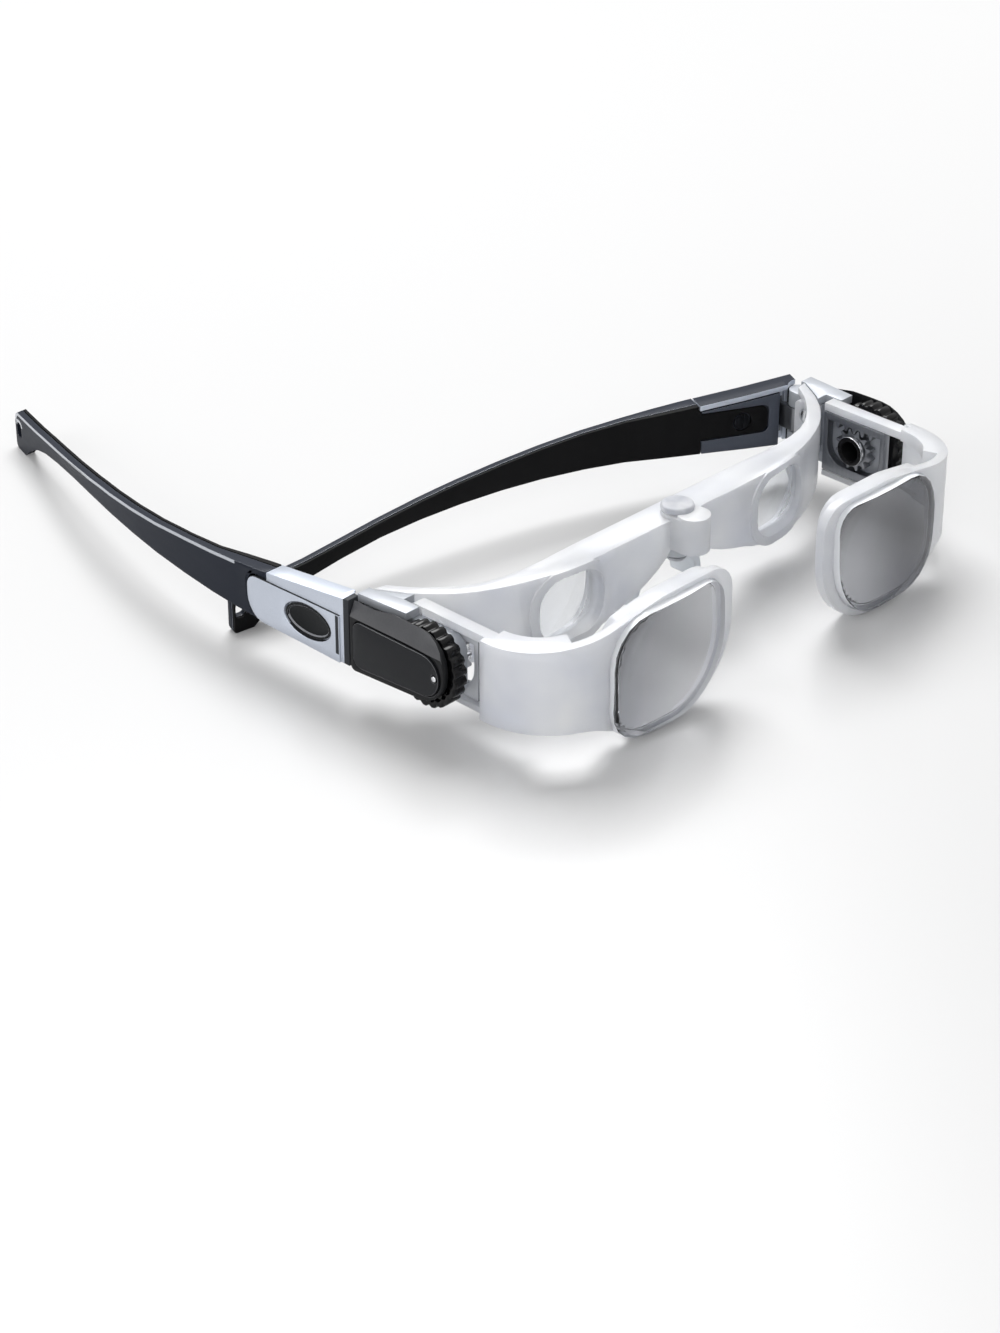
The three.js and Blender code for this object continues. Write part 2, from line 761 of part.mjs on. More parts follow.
function sideCover() {
  const boxFront = wheelRadius + cover.boxClear;
  const outline = coverOutline();
  const plate = sidePrism(outline, coverInner, sideReach);
  const walls = sidePrism(outline, wheelInner, coverInner)
    .intersect(sidePrism(box([boxFront, 0], [seamReach, shelfLow - gap]), 0, sideReach));
  const hollow = sidePrism(
    box([0, housingBottom + cover.wall], [seamRear - cover.wall, housingTop]),
    0,
    coverInner,
  );
  const hingeRoom = sidePrism(
    box([hingeY - 2 * (knuckle.radius + gap), 0], [seamReach, housingTop]),
    0,
    hingeReach + knuckle.radius + gap,
  );
  const beyond = sideReach + overrun;
  const above = housingTop + overrun;
  const bevelRing = (y, slope) => [
    [sideReach, y, crease], [beyond, y, crease], [beyond, y, above],
    [sideReach - (slope * (above - crease)) / cover.creaseDrop, y, above],
  ];
  const bevel = loft([
    bevelRing(seamReach + overrun, cover.rearSlope),
    bevelRing(cover.frontTopY, cover.frontSlope),
    bevelRing(-cover.noseReach - overrun, cover.frontSlope),
  ]);
  const seat = sidePrism(badgeOutline(gap), sideReach - cover.recess, beyond);
  const axleSeat = sidePrism(
    circle(0, axisHeight, axle.radius + gap),
    coverInner - overrun,
    coverInner + axle.tail - gap / 2,
  );
  return plate.add(walls.subtract(hollow).subtract(hingeRoom))
    .subtract(bevel).subtract(seat).subtract(axleSeat);
}

function dotCentre() {
  return -cover.noseReach + indexDot.back;
}

function badgePlate() {
  const body = sidePrism(badgeOutline(0), sideReach - cover.recess + gap, sideReach + badge.proud);
  const hole = sidePrism(
    circle(dotCentre(), axisHeight, indexDot.radius + gap, 12),
    coverInner,
    sideReach + overrun,
  );
  return body.subtract(hole);
}

function indexRivet() {
  return sidePrism(
    circle(dotCentre(), axisHeight, indexDot.radius, 12),
    sideReach - cover.recess + gap,
    sideReach + badge.proud + gap / 2,
  );
}

// Hinge pin, from the lower ear to just under the end piece's top
function hingePin() {
  const low = webBottom + gap;
  return hingeCylinder(knuckle.pinRadius, low, webTop - knuckle.pinRadius - gap);
}

// The temple's outer face seen from above, and its top and bottom edges seen from the side,
// as shares of the temple's length, tip inset and the housing's height
const temple = {
  insetShares: [
    [0, 0], [0.09, -0.01], [0.188, -0.027], [0.294, -0.004], [0.441, 0.089], [0.588, 0.267],
    [0.735, 0.512], [0.868, 0.771], [1, 1],
  ],
  topShares: [
    [0, 0.965], [0.09, 0.91], [0.188, 0.858], [0.294, 0.804], [0.441, 0.729], [0.588, 0.633],
    [0.735, 0.525], [0.868, 0.42], [0.94, 0.385], [1, 0.37],
  ],
  bottomShares: [
    [0, 0.363], [0.09, 0.379], [0.188, 0.4], [0.294, 0.413], [0.441, 0.433], [0.588, 0.429],
    [0.735, 0.385], [0.868, 0.265], [0.925, 0.15], [0.962, 0], [1, -0.2],
  ],
  stepsPerSpan: 2,
  armThickness: 2.9,
  linerThickness: 1.2,
  thinStart: 0.19,
  thinEnd: 0.33,
  thinShare: 0.5,
  tipCorner: 2.6,
};
const templeDepth = temple.armThickness + gap + temple.linerThickness;
const block = {
  length: 22.6,
  tongue: 5.2,
  toeBack: 3.4,
  toeRise: 2.4,
  skin: 1.3,
  roof: 1.2,
  rootDepth: 2.2,
  plateRise: 0.5,
  plateFront: 2.2,
  plateHigh: 4.9,
  ovalBack: 10.9,
  ovalHeight: 14.6,
  ovalLength: 6.2,
  ovalTall: 3.4,
  ovalDepth: 0.9,
};
const plateTop = housingTop - block.plateHigh;
const liner = {
  start: 22,
  tongueStart: 6.9,
  tongueHigh: 6,
  tongueMiddle: 15.7,
  tongueThickness: 0.7,
  step: 5,
};
const leaf = {
  thickness: 0.9,
  front: 3,
  rear: 15.5,
  height: 8,
  screwBack: 12.6,
  screwRadius: 0.9,
  head: 1.9,
};
const leafDepth = block.skin + gap;
const slot = { back: 1.3, length: 1.7, tall: 2.9, height: 4.9 };

function templeCurve(shares, height) {
  const points = shares.map(([along, value]) => [along * templeLength, value * height]);
  return curve(points, temple.stepsPerSpan * (shares.length - 1));
}

// The outer face in plan, as [x, y] points
function templeFace() {
  return templeCurve(temple.insetShares, templeTipInset)
    .map(([along, inset]) => [sideReach - inset, seamReach + along]);
}

// Where the outer face is at y, and how far it is turned there
function faceAt(y) {
  const face = templeFace();
  const next = Math.max(face.findIndex((point) => point[1] > y), 1);
  const [before, after] = [face[next - 1], face[next]];
  const share = (y - before[1]) / (after[1] - before[1]);
  return {
    x: THREE.MathUtils.lerp(before[0], after[0], share),
    turn: Math.atan2(before[0] - after[0], after[1] - before[1]),
  };
}

// The left temple is turned in until its tip is this far inside the right temple's outer face
const fold = { room: 3.4, limit: THREE.MathUtils.degToRad(75), step: THREE.MathUtils.degToRad(0.1) };

function leftFold() {
  const across = sideReach - templeTipInset - hingeReach;
  const along = seamReach + templeLength - hingeY;
  const reach = Math.hypot(across, along);
  const start = Math.atan2(along, across);
  const roomAt = (angle) => {
    const x = hingeReach + reach * Math.cos(start + angle);
    const y = hingeY + reach * Math.sin(start + angle);
    return x + faceAt(y).x - fold.room;
  };
  let steps = 0;
  while ((steps + 1) * fold.step < fold.limit && roomAt((steps + 1) * fold.step) > 0) {
    steps += 1;
  }
  return steps * fold.step;
}

// How thick the arm and its liner are at y, as a share of their thickness in the block
function thinAt(y) {
  const along = (y - seamReach) / templeLength;
  const done = THREE.MathUtils.smoothstep(along, temple.thinStart, temple.thinEnd);
  return 1 - (1 - temple.thinShare) * done;
}

function armBackAt(y) {
  return temple.armThickness * thinAt(y);
}

function linerBackAt(y) {
  return armBackAt(y) + gap + temple.linerThickness * thinAt(y);
}

// Layer between two depths below the outer face, from one distance behind the seam to another
function templeLayer(outerAt, innerAt, from, to) {
  const face = templeFace();
  const plan = band(offsetBy(face, outerAt), offsetBy(face, innerAt));
  const ends = box([0, seamReach + from], [2 * sideReach, seamReach + to]);
  const low = -housingTop;
  return planPrism(plan, low, 2 * housingTop).intersect(planPrism(ends, low, 2 * housingTop));
}

function templeBand(outer, inner, from, to) {
  return templeLayer(() => outer, () => inner, from, to);
}

function templeSide(outline) {
  return sidePrism(outline, 0, 2 * sideReach);
}

// Side view of the whole temple, with its top edge lowered by drop
function templeSilhouette(drop) {
  const top = templeCurve(temple.topShares, housingTop).map(([a, z]) => [seamReach + a, z - drop]);
  const low = templeCurve(temple.bottomShares, housingTop)
    .map(([a, z]) => [seamReach + a, Math.max(z, 0)]);
  const tip = seamReach + templeLength;
  const end = rounded([
    [seamReach, 0, 0], [tip, 0, temple.tipCorner / 2],
    [tip, top[top.length - 1][1], temple.tipCorner], [seamReach, housingTop, 0],
  ]);
  return templeSide(band(low, top)).intersect(templeSide(end));
}

// Side view of the silver block: the full-height part, and the lower tongue behind it
function blockSide(grow) {
  const rear = seamReach + block.length + grow;
  const tip = rear + block.tongue;
  const full = templeSide(box([0, -housingTop], [rear, 2 * housingTop]));
  const tongue = templeSide(rounded([
    [seamReach, 0, 0], [rear - block.toeBack, 0, 0], [rear - block.toeBack, housingBottom, 0],
    [tip, housingBottom + block.toeRise, block.tongue], [tip, plateTop + grow, block.tongue / 2],
    [seamReach, plateTop + grow, 0],
  ]));
  return { full, tongue };
}

const blockReach = block.length + 2 * block.tongue;

function hingeBlock() {
  const { full, tongue } = blockSide(0);
  const skin = templeBand(0, block.skin, 0, blockReach).intersect(full.add(tongue));
  const root = templeBand(0, block.rootDepth, 0, block.plateFront);
  const roof = templeBand(0, templeDepth, 0, block.length).subtract(templeSilhouette(block.roof));
  const plate = templeBand(-block.plateRise, block.skin, block.plateFront, blockReach)
    .intersect(tongue);
  const oval = templeSide(ovalOutline(gap))
    .intersect(templeBand(-2 * block.plateRise, block.ovalDepth - block.plateRise, 0, blockReach));
  return unite([skin, root, roof, plate]).intersect(templeSilhouette(0)).subtract(oval)
    .subtract(hingeCylinder(knuckle.radius + gap, 0, housingTop));
}

function ovalOutline(grow) {
  const centre = seamReach + block.ovalBack;
  return circle(0, 0, 1, 28).map(([a, b]) => [
    centre + a * (block.ovalLength + grow),
    block.ovalHeight + b * (block.ovalTall + grow),
  ]);
}

function blockInset() {
  const floor = block.ovalDepth - block.plateRise - gap;
  return templeSide(ovalOutline(0)).intersect(templeBand(-block.plateRise / 2, floor, 0, blockReach));
}

// Temple arm: the slate bar behind the block, with its front plate inside the block
function templeArm() {
  const front = leaf.front + leaf.thickness + gap;
  const bar = templeLayer(() => 0, armBackAt, front, templeLength);
  const plate = templeBand(0, templeDepth, front, liner.start);
  const { full, tongue } = blockSide(gap);
  const skinRoom = templeBand(-overrun, leafDepth, 0, blockReach).intersect(full.add(tongue));
  const roofRoom = templeBand(-overrun, templeDepth + overrun, 0, block.length + gap)
    .subtract(templeSilhouette(block.roof + gap));
  const leafRoom = templeBand(0, leafDepth + leaf.thickness + gap, 0, leaf.rear + gap)
    .intersect(templeSide(leafOutline(gap)));
  const seatDepth = templeDepth - liner.tongueThickness - gap;
  const tongueSeat = templeBand(seatDepth, templeDepth + overrun, 0, liner.start + 2 * gap)
    .intersect(templeSide(linerTongue(gap)));
  return unite([bar, plate]).intersect(templeSilhouette(0))
    .subtract(unite([skinRoom, roofRoom, leafRoom, tongueSeat]))
    .subtract(screwHole(leaf.screwRadius + gap))
    .subtract(tipSlot(gap));
}

function leafOutline(grow) {
  const middle = (webBottom + webTop) / 2;
  return box(
    [seamReach - grow, middle - leaf.height / 2 - grow],
    [seamReach + leaf.rear + grow, middle + leaf.height / 2 + grow],
  );
}

// Puts a solid drawn about the X axis on the temple's outer face, square to it, at the screw
function onScrew(solid) {
  const station = seamReach + leaf.screwBack;
  const { x, turn } = faceAt(station);
  const matrix = new THREE.Matrix4().makeRotationZ(turn);
  return placed(solid, matrix, x, station, liner.tongueMiddle);
}

function screwHole(radius) {
  return onScrew(sidePrism(circle(0, 0, radius, 12), -2 * templeDepth, -leafDepth + gap / 2));
}

function linerTongue(grow) {
  const front = seamReach + liner.tongueStart - grow;
  const rear = seamReach + liner.start + liner.step;
  const half = liner.tongueHigh / 2 + grow;
  const corner = liner.tongueHigh / 4;
  return rounded([
    [front, liner.tongueMiddle - half, corner], [rear, liner.tongueMiddle - half, corner],
    [rear, liner.tongueMiddle + half, corner], [front, liner.tongueMiddle + half, corner],
  ]);
}

function tipSlot(grow) {
  const rear = seamReach + templeLength - slot.back + grow;
  const front = rear - slot.length - 2 * grow;
  const half = slot.tall / 2 + grow;
  const corner = slot.length / 2;
  return templeSide(rounded([
    [front, slot.height - half, corner], [rear, slot.height - half, corner],
    [rear, slot.height + half, corner], [front, slot.height + half, corner],
  ]));
}

function templeLiner() {
  const long = templeLayer((y) => armBackAt(y) + gap, linerBackAt, liner.start + gap, templeLength);
  const tongueRear = liner.start + liner.step / 2;
  const tongue = templeBand(templeDepth - liner.tongueThickness, templeDepth, 0, tongueRear)
    .intersect(templeSide(linerTongue(0)));
  const roofRoom = templeBand(0, templeDepth + overrun, 0, block.length + gap)
    .subtract(templeSilhouette(block.roof + gap));
  return long.add(tongue).intersect(templeSilhouette(0)).subtract(roofRoom)
    .subtract(screwHole(leaf.head + gap)).subtract(tipSlot(gap));
}

// Hinge leaf: barrel between the ears and the plate inside the block
function hingeLeaf() {
  const low = webBottom + gap + knuckle.ear + gap;
  const high = webTop - knuckle.ear - gap;
  const barrel = hingeCylinder(knuckle.radius, low, high);
  const side = templeSide(leafOutline(0));
  const plate = templeBand(leafDepth, leafDepth + leaf.thickness, leaf.front, leaf.rear).intersect(side);
  const outerX = sideReach - leafDepth;
  const start = seamReach + leaf.front;
  const arm = planPrism([
    [hingeReach, hingeY - knuckle.radius / 2], [outerX - leaf.thickness, start - leaf.thickness],
    [outerX, start], [outerX, start + leaf.thickness],
    [hingeReach, hingeY + knuckle.radius],
  ], low, high).intersect(side);
  const bore = hingeCylinder(knuckle.pinRadius + gap, 0, housingTop);
  return unite([barrel, plate, arm]).subtract(bore).subtract(screwHole(leaf.screwRadius + gap));
}

// Screws: a dished head with a slot, and a plain shank
function screwBody(headRadius, headHeight, shankRadius, length) {
  const profile = [
    [0, 0], [headRadius, 0], [headRadius, headHeight / 2], [shankRadius, headHeight],
    [shankRadius, length], [0, length],
  ];
  const width = shankRadius / 2;
  const reach = headRadius + overrun;
  const cut = planPrism(box([-reach, -width / 2], [reach, width / 2]), -overrun, headHeight / 2);
  return toSolid(turned(profile, 16)).subtract(cut);
}

function placed(solid, matrix, x, y, z) {
  return toSolid(toGeometry(solid).applyMatrix4(matrix).translate(x, y, z));
}

function frameScrewSolid(side) {
  const { radius, head, headHeight, spread } = frameScrew;
  const start = frameScrewSeat - headHeight;
  const length = webInner + webThickness / 2 - gap - start;
  return placed(
    screwBody(head, headHeight, radius, length),
    alongX,
    start,
    lapScrewY(),
    axisHeight + side * spread,
  );
}

function templeScrew() {
  const length = templeDepth - leafDepth;
  return onScrew(placed(
    screwBody(leaf.head, liner.tongueThickness, leaf.screwRadius, length),
    alongX,
    -templeDepth,
    0,
    0,
  ));
}

// Nose post through the bridge, and the soft saddle that it holds
const saddle = {
  legReach: 10.5,
  legDrop: 11.5,
  legToe: 1.2,
  thickness: 2,
  front: -1.2,
  rear: 6.2,
  collar: 2.9,
  crown: 2.9,
};

function nosePostSolid() {
  const { radius, head, barb, barbLength } = nosePost;
  const underHead = postTop - head;
  const low = bridgeUnder - saddle.thickness - 2 * gap - barbLength;
  const profile = [
    [0, low], [radius, low], [radius + barb, low + barbLength], [radius, low + barbLength],
    [radius, underHead], [boss.radius, underHead], [boss.radius, postTop - gap],
    [boss.radius - gap, postTop], [0, postTop],
  ];
  return toSolid(turned(profile).translate(0, boss.rearY, 0));
}

function noseSaddle() {
  const high = bridgeUnder - gap;
  const { legReach, legDrop, thickness, crown, legToe } = saddle;
  const outerSide = [[crown, high], [legReach - legToe, high - legDrop / 2], [legReach, high - legDrop]];
  const innerSide = outerSide.map(([x, z]) => [x - thickness, z - thickness / 2]);
  innerSide[0] = [crown - thickness, high - thickness];
  const half = [
    [0, high], ...curve(outerSide, arcSteps),
    ...curve(innerSide, arcSteps).reverse(), [0, high - thickness],
  ];
  const leg = frontPrism([...half].reverse(), saddle.front, saddle.rear);
  const collar = planPrism(circle(0, boss.rearY, saddle.collar), high - thickness, high);
  const neck = planPrism(
    box([-saddle.collar, boss.rearY], [saddle.collar, saddle.front + overrun]),
    high - thickness,
    high,
  );
  const bore = planPrism(circle(0, boss.rearY, nosePost.radius + gap), 0, housingTop);
  return unite([leg, toSolid(mirrored(leg)), collar, neck]).subtract(bore);
}

// Assembly
const glasses = new THREE.Group();

function place(name, geometry, material, parent) {
  const mesh = new THREE.Mesh(geometry, material);
  mesh.name = name;
  parent.add(mesh);
}

place('eyepiece_frame', eyepieceFrame(), frosted, glasses);
place('nose_post', toGeometry(nosePostSolid()), frosted, glasses);
place('nose_saddle', toGeometry(noseSaddle()), soft, glasses);

const housingPieces = [
  ['eyepiece_lens', eyepieceLens(), clear],
  ['objective_carrier', objectiveCarrier(), frosted],
  ['objective_lens', objectiveLens(), clear],
  ['focus_slide', focusSlide(), gunmetal],
  ['focus_pinion', pinion(), gunmetal],
  ['focus_axle', focusAxle(), steel],
  ['focus_wheel', focusWheel(), gloss],
  ['end_piece', endPieceSolid(), silver],
  ['frame_screw_upper', frameScrewSolid(1), steel],
  ['frame_screw_lower', frameScrewSolid(-1), steel],
  ['side_cover', sideCover(), charcoal],
  ['badge_plate', badgePlate(), charcoal],
  ['index_dot', indexRivet(), steel],
  ['hinge_pin', hingePin(), steel],
];
const templePieces = [
  ['hinge_leaf', hingeLeaf(), gunmetal],
  ['hinge_block', hingeBlock(), silver],
  ['block_inset', blockInset(), gunmetal],
  ['temple_arm', templeArm(), slate],
  ['temple_liner', templeLiner(), rubber],
  ['temple_screw', templeScrew(), steel],
];

for (const [side, sign, turn] of [['left', 1, leftFold()], ['right', -1, 0]]) {
  const shaped = (solid) => (sign > 0 ? toGeometry(solid) : mirrored(solid));
  for (const [name, solid, material] of housingPieces) {
    place(`${side}_${name}`, shaped(solid), material, glasses);
  }
  const templeGroup = new THREE.Group();
  templeGroup.position.set(sign * hingeReach, hingeY, 0);
  templeGroup.rotation.z = sign * turn;
  for (const [name, solid, material] of templePieces) {
    const geometry = shaped(solid).translate(-sign * hingeReach, -hingeY, 0);
    place(`${side}_${name}`, geometry, material, templeGroup);
  }
  glasses.add(templeGroup);
}

glasses.position.set(0, -boss.rearY, -postTop);

export default glasses;
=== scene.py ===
import math

import bpy
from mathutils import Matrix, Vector


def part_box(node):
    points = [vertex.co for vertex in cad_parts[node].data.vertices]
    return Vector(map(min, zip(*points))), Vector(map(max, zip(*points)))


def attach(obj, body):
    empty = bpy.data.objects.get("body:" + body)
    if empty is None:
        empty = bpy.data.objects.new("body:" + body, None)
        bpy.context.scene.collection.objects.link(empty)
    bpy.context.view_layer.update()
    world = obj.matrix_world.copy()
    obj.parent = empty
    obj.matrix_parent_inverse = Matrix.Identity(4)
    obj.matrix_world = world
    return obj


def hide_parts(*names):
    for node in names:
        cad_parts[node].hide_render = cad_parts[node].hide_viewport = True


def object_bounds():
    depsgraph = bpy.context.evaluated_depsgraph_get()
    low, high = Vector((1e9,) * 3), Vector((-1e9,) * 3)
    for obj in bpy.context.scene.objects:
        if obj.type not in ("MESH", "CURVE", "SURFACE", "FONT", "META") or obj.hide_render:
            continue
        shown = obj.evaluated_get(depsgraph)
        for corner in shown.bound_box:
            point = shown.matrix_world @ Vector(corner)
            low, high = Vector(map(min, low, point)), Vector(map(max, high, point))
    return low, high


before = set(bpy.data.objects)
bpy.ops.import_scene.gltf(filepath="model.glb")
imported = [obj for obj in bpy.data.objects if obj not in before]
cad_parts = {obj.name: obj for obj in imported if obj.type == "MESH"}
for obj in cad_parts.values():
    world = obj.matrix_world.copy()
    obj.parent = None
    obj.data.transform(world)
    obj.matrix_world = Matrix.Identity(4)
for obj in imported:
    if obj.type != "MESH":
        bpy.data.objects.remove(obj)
cadLow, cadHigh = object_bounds()
sides = {"left": 1.0, "right": -1.0}
print("frame loaded")


# Camera and lamps: places and sizes in metres, lens and sensor in millimetres
cameraSetup = {
    "place": (-0.4502, -0.3915, 0.3094),
    "target": (-0.05241, -0.00203, -0.01509),
    "lens": 91.27,
    "sensor": 36,
    "nearest": 0.01,
}
lampTarget = (0, 0.02, -0.015)
lamps = {
    "overhead": {"place": (0.25, 0.42, 0.75), "size": 0.6, "power": 9.5},
    "front": {"place": (-0.5, -0.55, 0.5), "size": 0.5, "power": 2.2},
    "strip": {"place": (-0.75, 0.25, 0.35), "size": 0.35, "power": 1.4},
}


def aimed(place, target):
    return (Vector(target) - Vector(place)).to_track_quat("-Z", "Y").to_euler()


def clearSelection():
    active = bpy.context.view_layer.objects.active
    if active is not None and active.mode != "OBJECT":
        bpy.ops.object.mode_set(mode="OBJECT")
    bpy.ops.object.select_all(action="DESELECT")


def makeCamera():
    clearSelection()
    bpy.ops.object.camera_add(location=cameraSetup["place"])
    camera = bpy.context.object
    camera.rotation_euler = aimed(cameraSetup["place"], cameraSetup["target"])
    camera.data.lens = cameraSetup["lens"]
    camera.data.sensor_width = cameraSetup["sensor"]
    camera.data.clip_start = cameraSetup["nearest"]
    bpy.context.scene.camera = camera
    bpy.context.scene.view_settings.view_transform = "Standard"


def makeLamps():
    for name, lamp in lamps.items():
        bpy.ops.object.light_add(type="AREA", location=lamp["place"])
        light = bpy.context.object
        light.name = name + "Light"
        light.rotation_euler = aimed(lamp["place"], lampTarget)
        light.data.size = lamp["size"]
        light.data.energy = lamp["power"]


# A shader socket that can be added, multiplied and so on, so that shader maths reads as sums
class Flow:
    def __init__(self, tree, socket):
        self.tree = tree
        self.socket = socket

    def maths(self, operation, first, second=None):
        node = self.tree.nodes.new("ShaderNodeMath")
        node.operation = operation
        for slot, value in zip(node.inputs, (first, second)):
            if value is not None:
                wire(self.tree, slot, value)
        return Flow(self.tree, node.outputs[0])

    def __add__(self, other):
        return self.maths("ADD", self, other)

    __radd__ = __add__

    def __mul__(self, other):
        return self.maths("MULTIPLY", self, other)

    def __sub__(self, other):
        return self.maths("SUBTRACT", self, other)

    def __rsub__(self, other):
        return self.maths("SUBTRACT", other, self)

    def __pow__(self, other):
        return self.maths("POWER", self, other)

    def __abs__(self):
        return self.maths("ABSOLUTE", self)

    def clamped(self):
        return self.maths("MAXIMUM", self.maths("MINIMUM", self, 1.0), 0.0)


def wire(tree, slot, value):
    if isinstance(value, Flow):
        tree.links.new(value.socket, slot)
    else:
        slot.default_value = value


def rays(tree, *kinds):
    path = tree.nodes.new("ShaderNodeLightPath")
    return [Flow(tree, path.outputs["Is " + kind + " Ray"]) for kind in kinds]


# Plain words for the inputs of the surface shader
surfaceInputs = {
    "color": "Base Color",
    "roughness": "Roughness",
    "metal": "Metallic",
    "gloss": "Specular IOR Level",
    "normal": "Normal",
    "coat": "Coat Weight",
    "coatRoughness": "Coat Roughness",
    "clearness": "Transmission Weight",
    "ior": "IOR",
    "glow": "Subsurface Weight",
    "glowScale": "Subsurface Scale",
    "glowRadius": "Subsurface Radius",
}


# One material and its nodes, mapped in object coordinates
class Finish:
    def __init__(self, name):
        self.material = bpy.data.materials.new(name)
        self.material.use_nodes = True
        self.tree = self.material.node_tree
        self.tree.nodes.clear()
        self.out = self.tree.nodes.new("ShaderNodeOutputMaterial")

    def add(self, kind, values=None, output=0, **settings):
        node = self.tree.nodes.new("ShaderNode" + kind)
        for key, value in settings.items():
            setattr(node, key, value)
        for key, value in (values or {}).items():
            wire(self.tree, node.inputs[key], value)
        return Flow(self.tree, node.outputs[output])

    def place(self, scale=(1, 1, 1)):
        coords = self.add("TexCoord", output="Object")
        return self.add("Mapping", {"Vector": coords, "Scale": scale})

    def noise(self, size, detail=3.0, scale=(1, 1, 1)):
        values = {"Vector": self.place(scale), "Scale": 1.0 / size, "Detail": detail}
        return self.add("TexNoise", values, "Fac")

    def blendColors(self, share, first, second):
        values = {"Factor": share, 6: first, 7: second}
        return self.add("Mix", values, 2, data_type="RGBA", blend_type="MIX")

    def bump(self, height, strength, distance):
        return self.add("Bump", {"Height": height, "Strength": strength, "Distance": distance})

    def surface(self, **values):
        named = {surfaceInputs[key]: value for key, value in values.items()}
        self.shown(self.add("BsdfPrincipled", named))
        return self.material

    def shown(self, shader):
        self.tree.links.new(shader.socket, self.out.inputs["Surface"])


# Frosted resin, and the greyer resin of the nose post. Both turn to a lighter edge colour
# where the surface is seen edge-on, which is a painted highlight.
frostedLooks = {
    "frosted": {
        "name": "frostedResin", "light": (0.93, 0.94, 0.955, 1), "deep": (0.74, 0.76, 0.82, 1),
        "edge": (0.98, 0.985, 1.0, 1), "cloudSize": 0.014, "grainSize": 0.00035,
    },
    # The nose post's resin: greyer, and darker in clouds, partly its own tint and partly painted
    # shade for the dark space under the post's head
    "greyShaded": {
        "name": "greyShadedResin", "light": (0.84, 0.85, 0.88, 1), "deep": (0.42, 0.44, 0.5, 1),
        "edge": (0.93, 0.94, 0.97, 1), "cloudSize": 0.0045, "grainSize": 0.00035,
    },
}


def frostedResin(name, light, deep, edge, cloudSize, grainSize):
    paint = Finish(name)
    cloud = paint.noise(cloudSize, 2.0)
    grain = paint.noise(grainSize, 2.0)
    # Painted highlight: the colour turns to the edge colour where the surface is seen edge-on
    rim = paint.add("LayerWeight", {"Blend": 0.3}, "Facing")
    body = paint.blendColors((cloud * 2.2 - 0.6).clamped(), deep, light)
    return paint.surface(
        color=paint.blendColors((rim ** 2.0) * 0.8, body, edge),
        roughness=0.34 + cloud * 0.14, clearness=0.45, ior=1.4,
        glow=0.5, glowScale=0.003, glowRadius=(1.0, 1.0, 1.0), coat=0.2, coatRoughness=0.15,
        normal=paint.bump(grain, 0.12, 0.00004),
    )


# Soft clear silicone of the nose saddle
siliconeLook = {
    "name": "softSilicone", "dark": (0.66, 0.7, 0.75, 1), "light": (0.82, 0.85, 0.88, 1),
    "cloudSize": 0.006, "grainSize": 0.0004,
}


def silicone(name, dark, light, cloudSize, grainSize):
    paint = Finish(name)
    cloud = paint.noise(cloudSize, 3.0)
    grain = paint.noise(grainSize, 2.0)
    return paint.surface(
        color=paint.blendColors(cloud, dark, light),
        roughness=0.42 + cloud * 0.14, clearness=0.3, ior=1.41,
        glow=0.4, glowScale=0.004, glowRadius=(1.0, 1.0, 1.0),
        normal=paint.bump(grain, 0.2, 0.00005),
    )


# Glass with a painted dark reflection: its colour darkens over a span, from a start away from the
# middle of the glasses, and the left objective's glass is painted darker than the right one's
glassLooks = {
    "rightObjectiveGlass": {
        "name": "rightObjectiveGlass", "nearNose": (0.86, 0.865, 0.885, 1),
        "nearTemple": (0.4, 0.41, 0.44, 1), "start": 0.021, "span": 0.024,
    },
    "leftObjectiveGlass": {
        "name": "leftObjectiveGlass", "nearNose": (0.6, 0.61, 0.635, 1),
        "nearTemple": (0.16, 0.165, 0.185, 1), "start": 0.017, "span": 0.022,
    },
    "eyepieceGlass": {
        "name": "eyepieceGlass", "nearNose": (0.93, 0.94, 0.95, 1),
        "nearTemple": (0.72, 0.74, 0.77, 1), "start": 0.022, "span": 0.018,
    },
}


def paintedShadeGlass(name, nearNose, nearTemple, start, span):
    paint = Finish(name)
    coords = paint.add("TexCoord", output="Object")
    across = abs(paint.add("SeparateXYZ", {0: coords}, "X"))
    cloud = paint.noise(0.01, 2.0)
    # Painted dark reflection, growing towards the temple side
    share = ((across - start) * (1 / span) + cloud * 0.12 - 0.06).clamped()
    return paint.surface(
        color=paint.blendColors(share, nearNose, nearTemple), roughness=0.012 + cloud * 0.02,
        clearness=1.0, ior=1.47, coat=0.25, coatRoughness=0.03,
    )


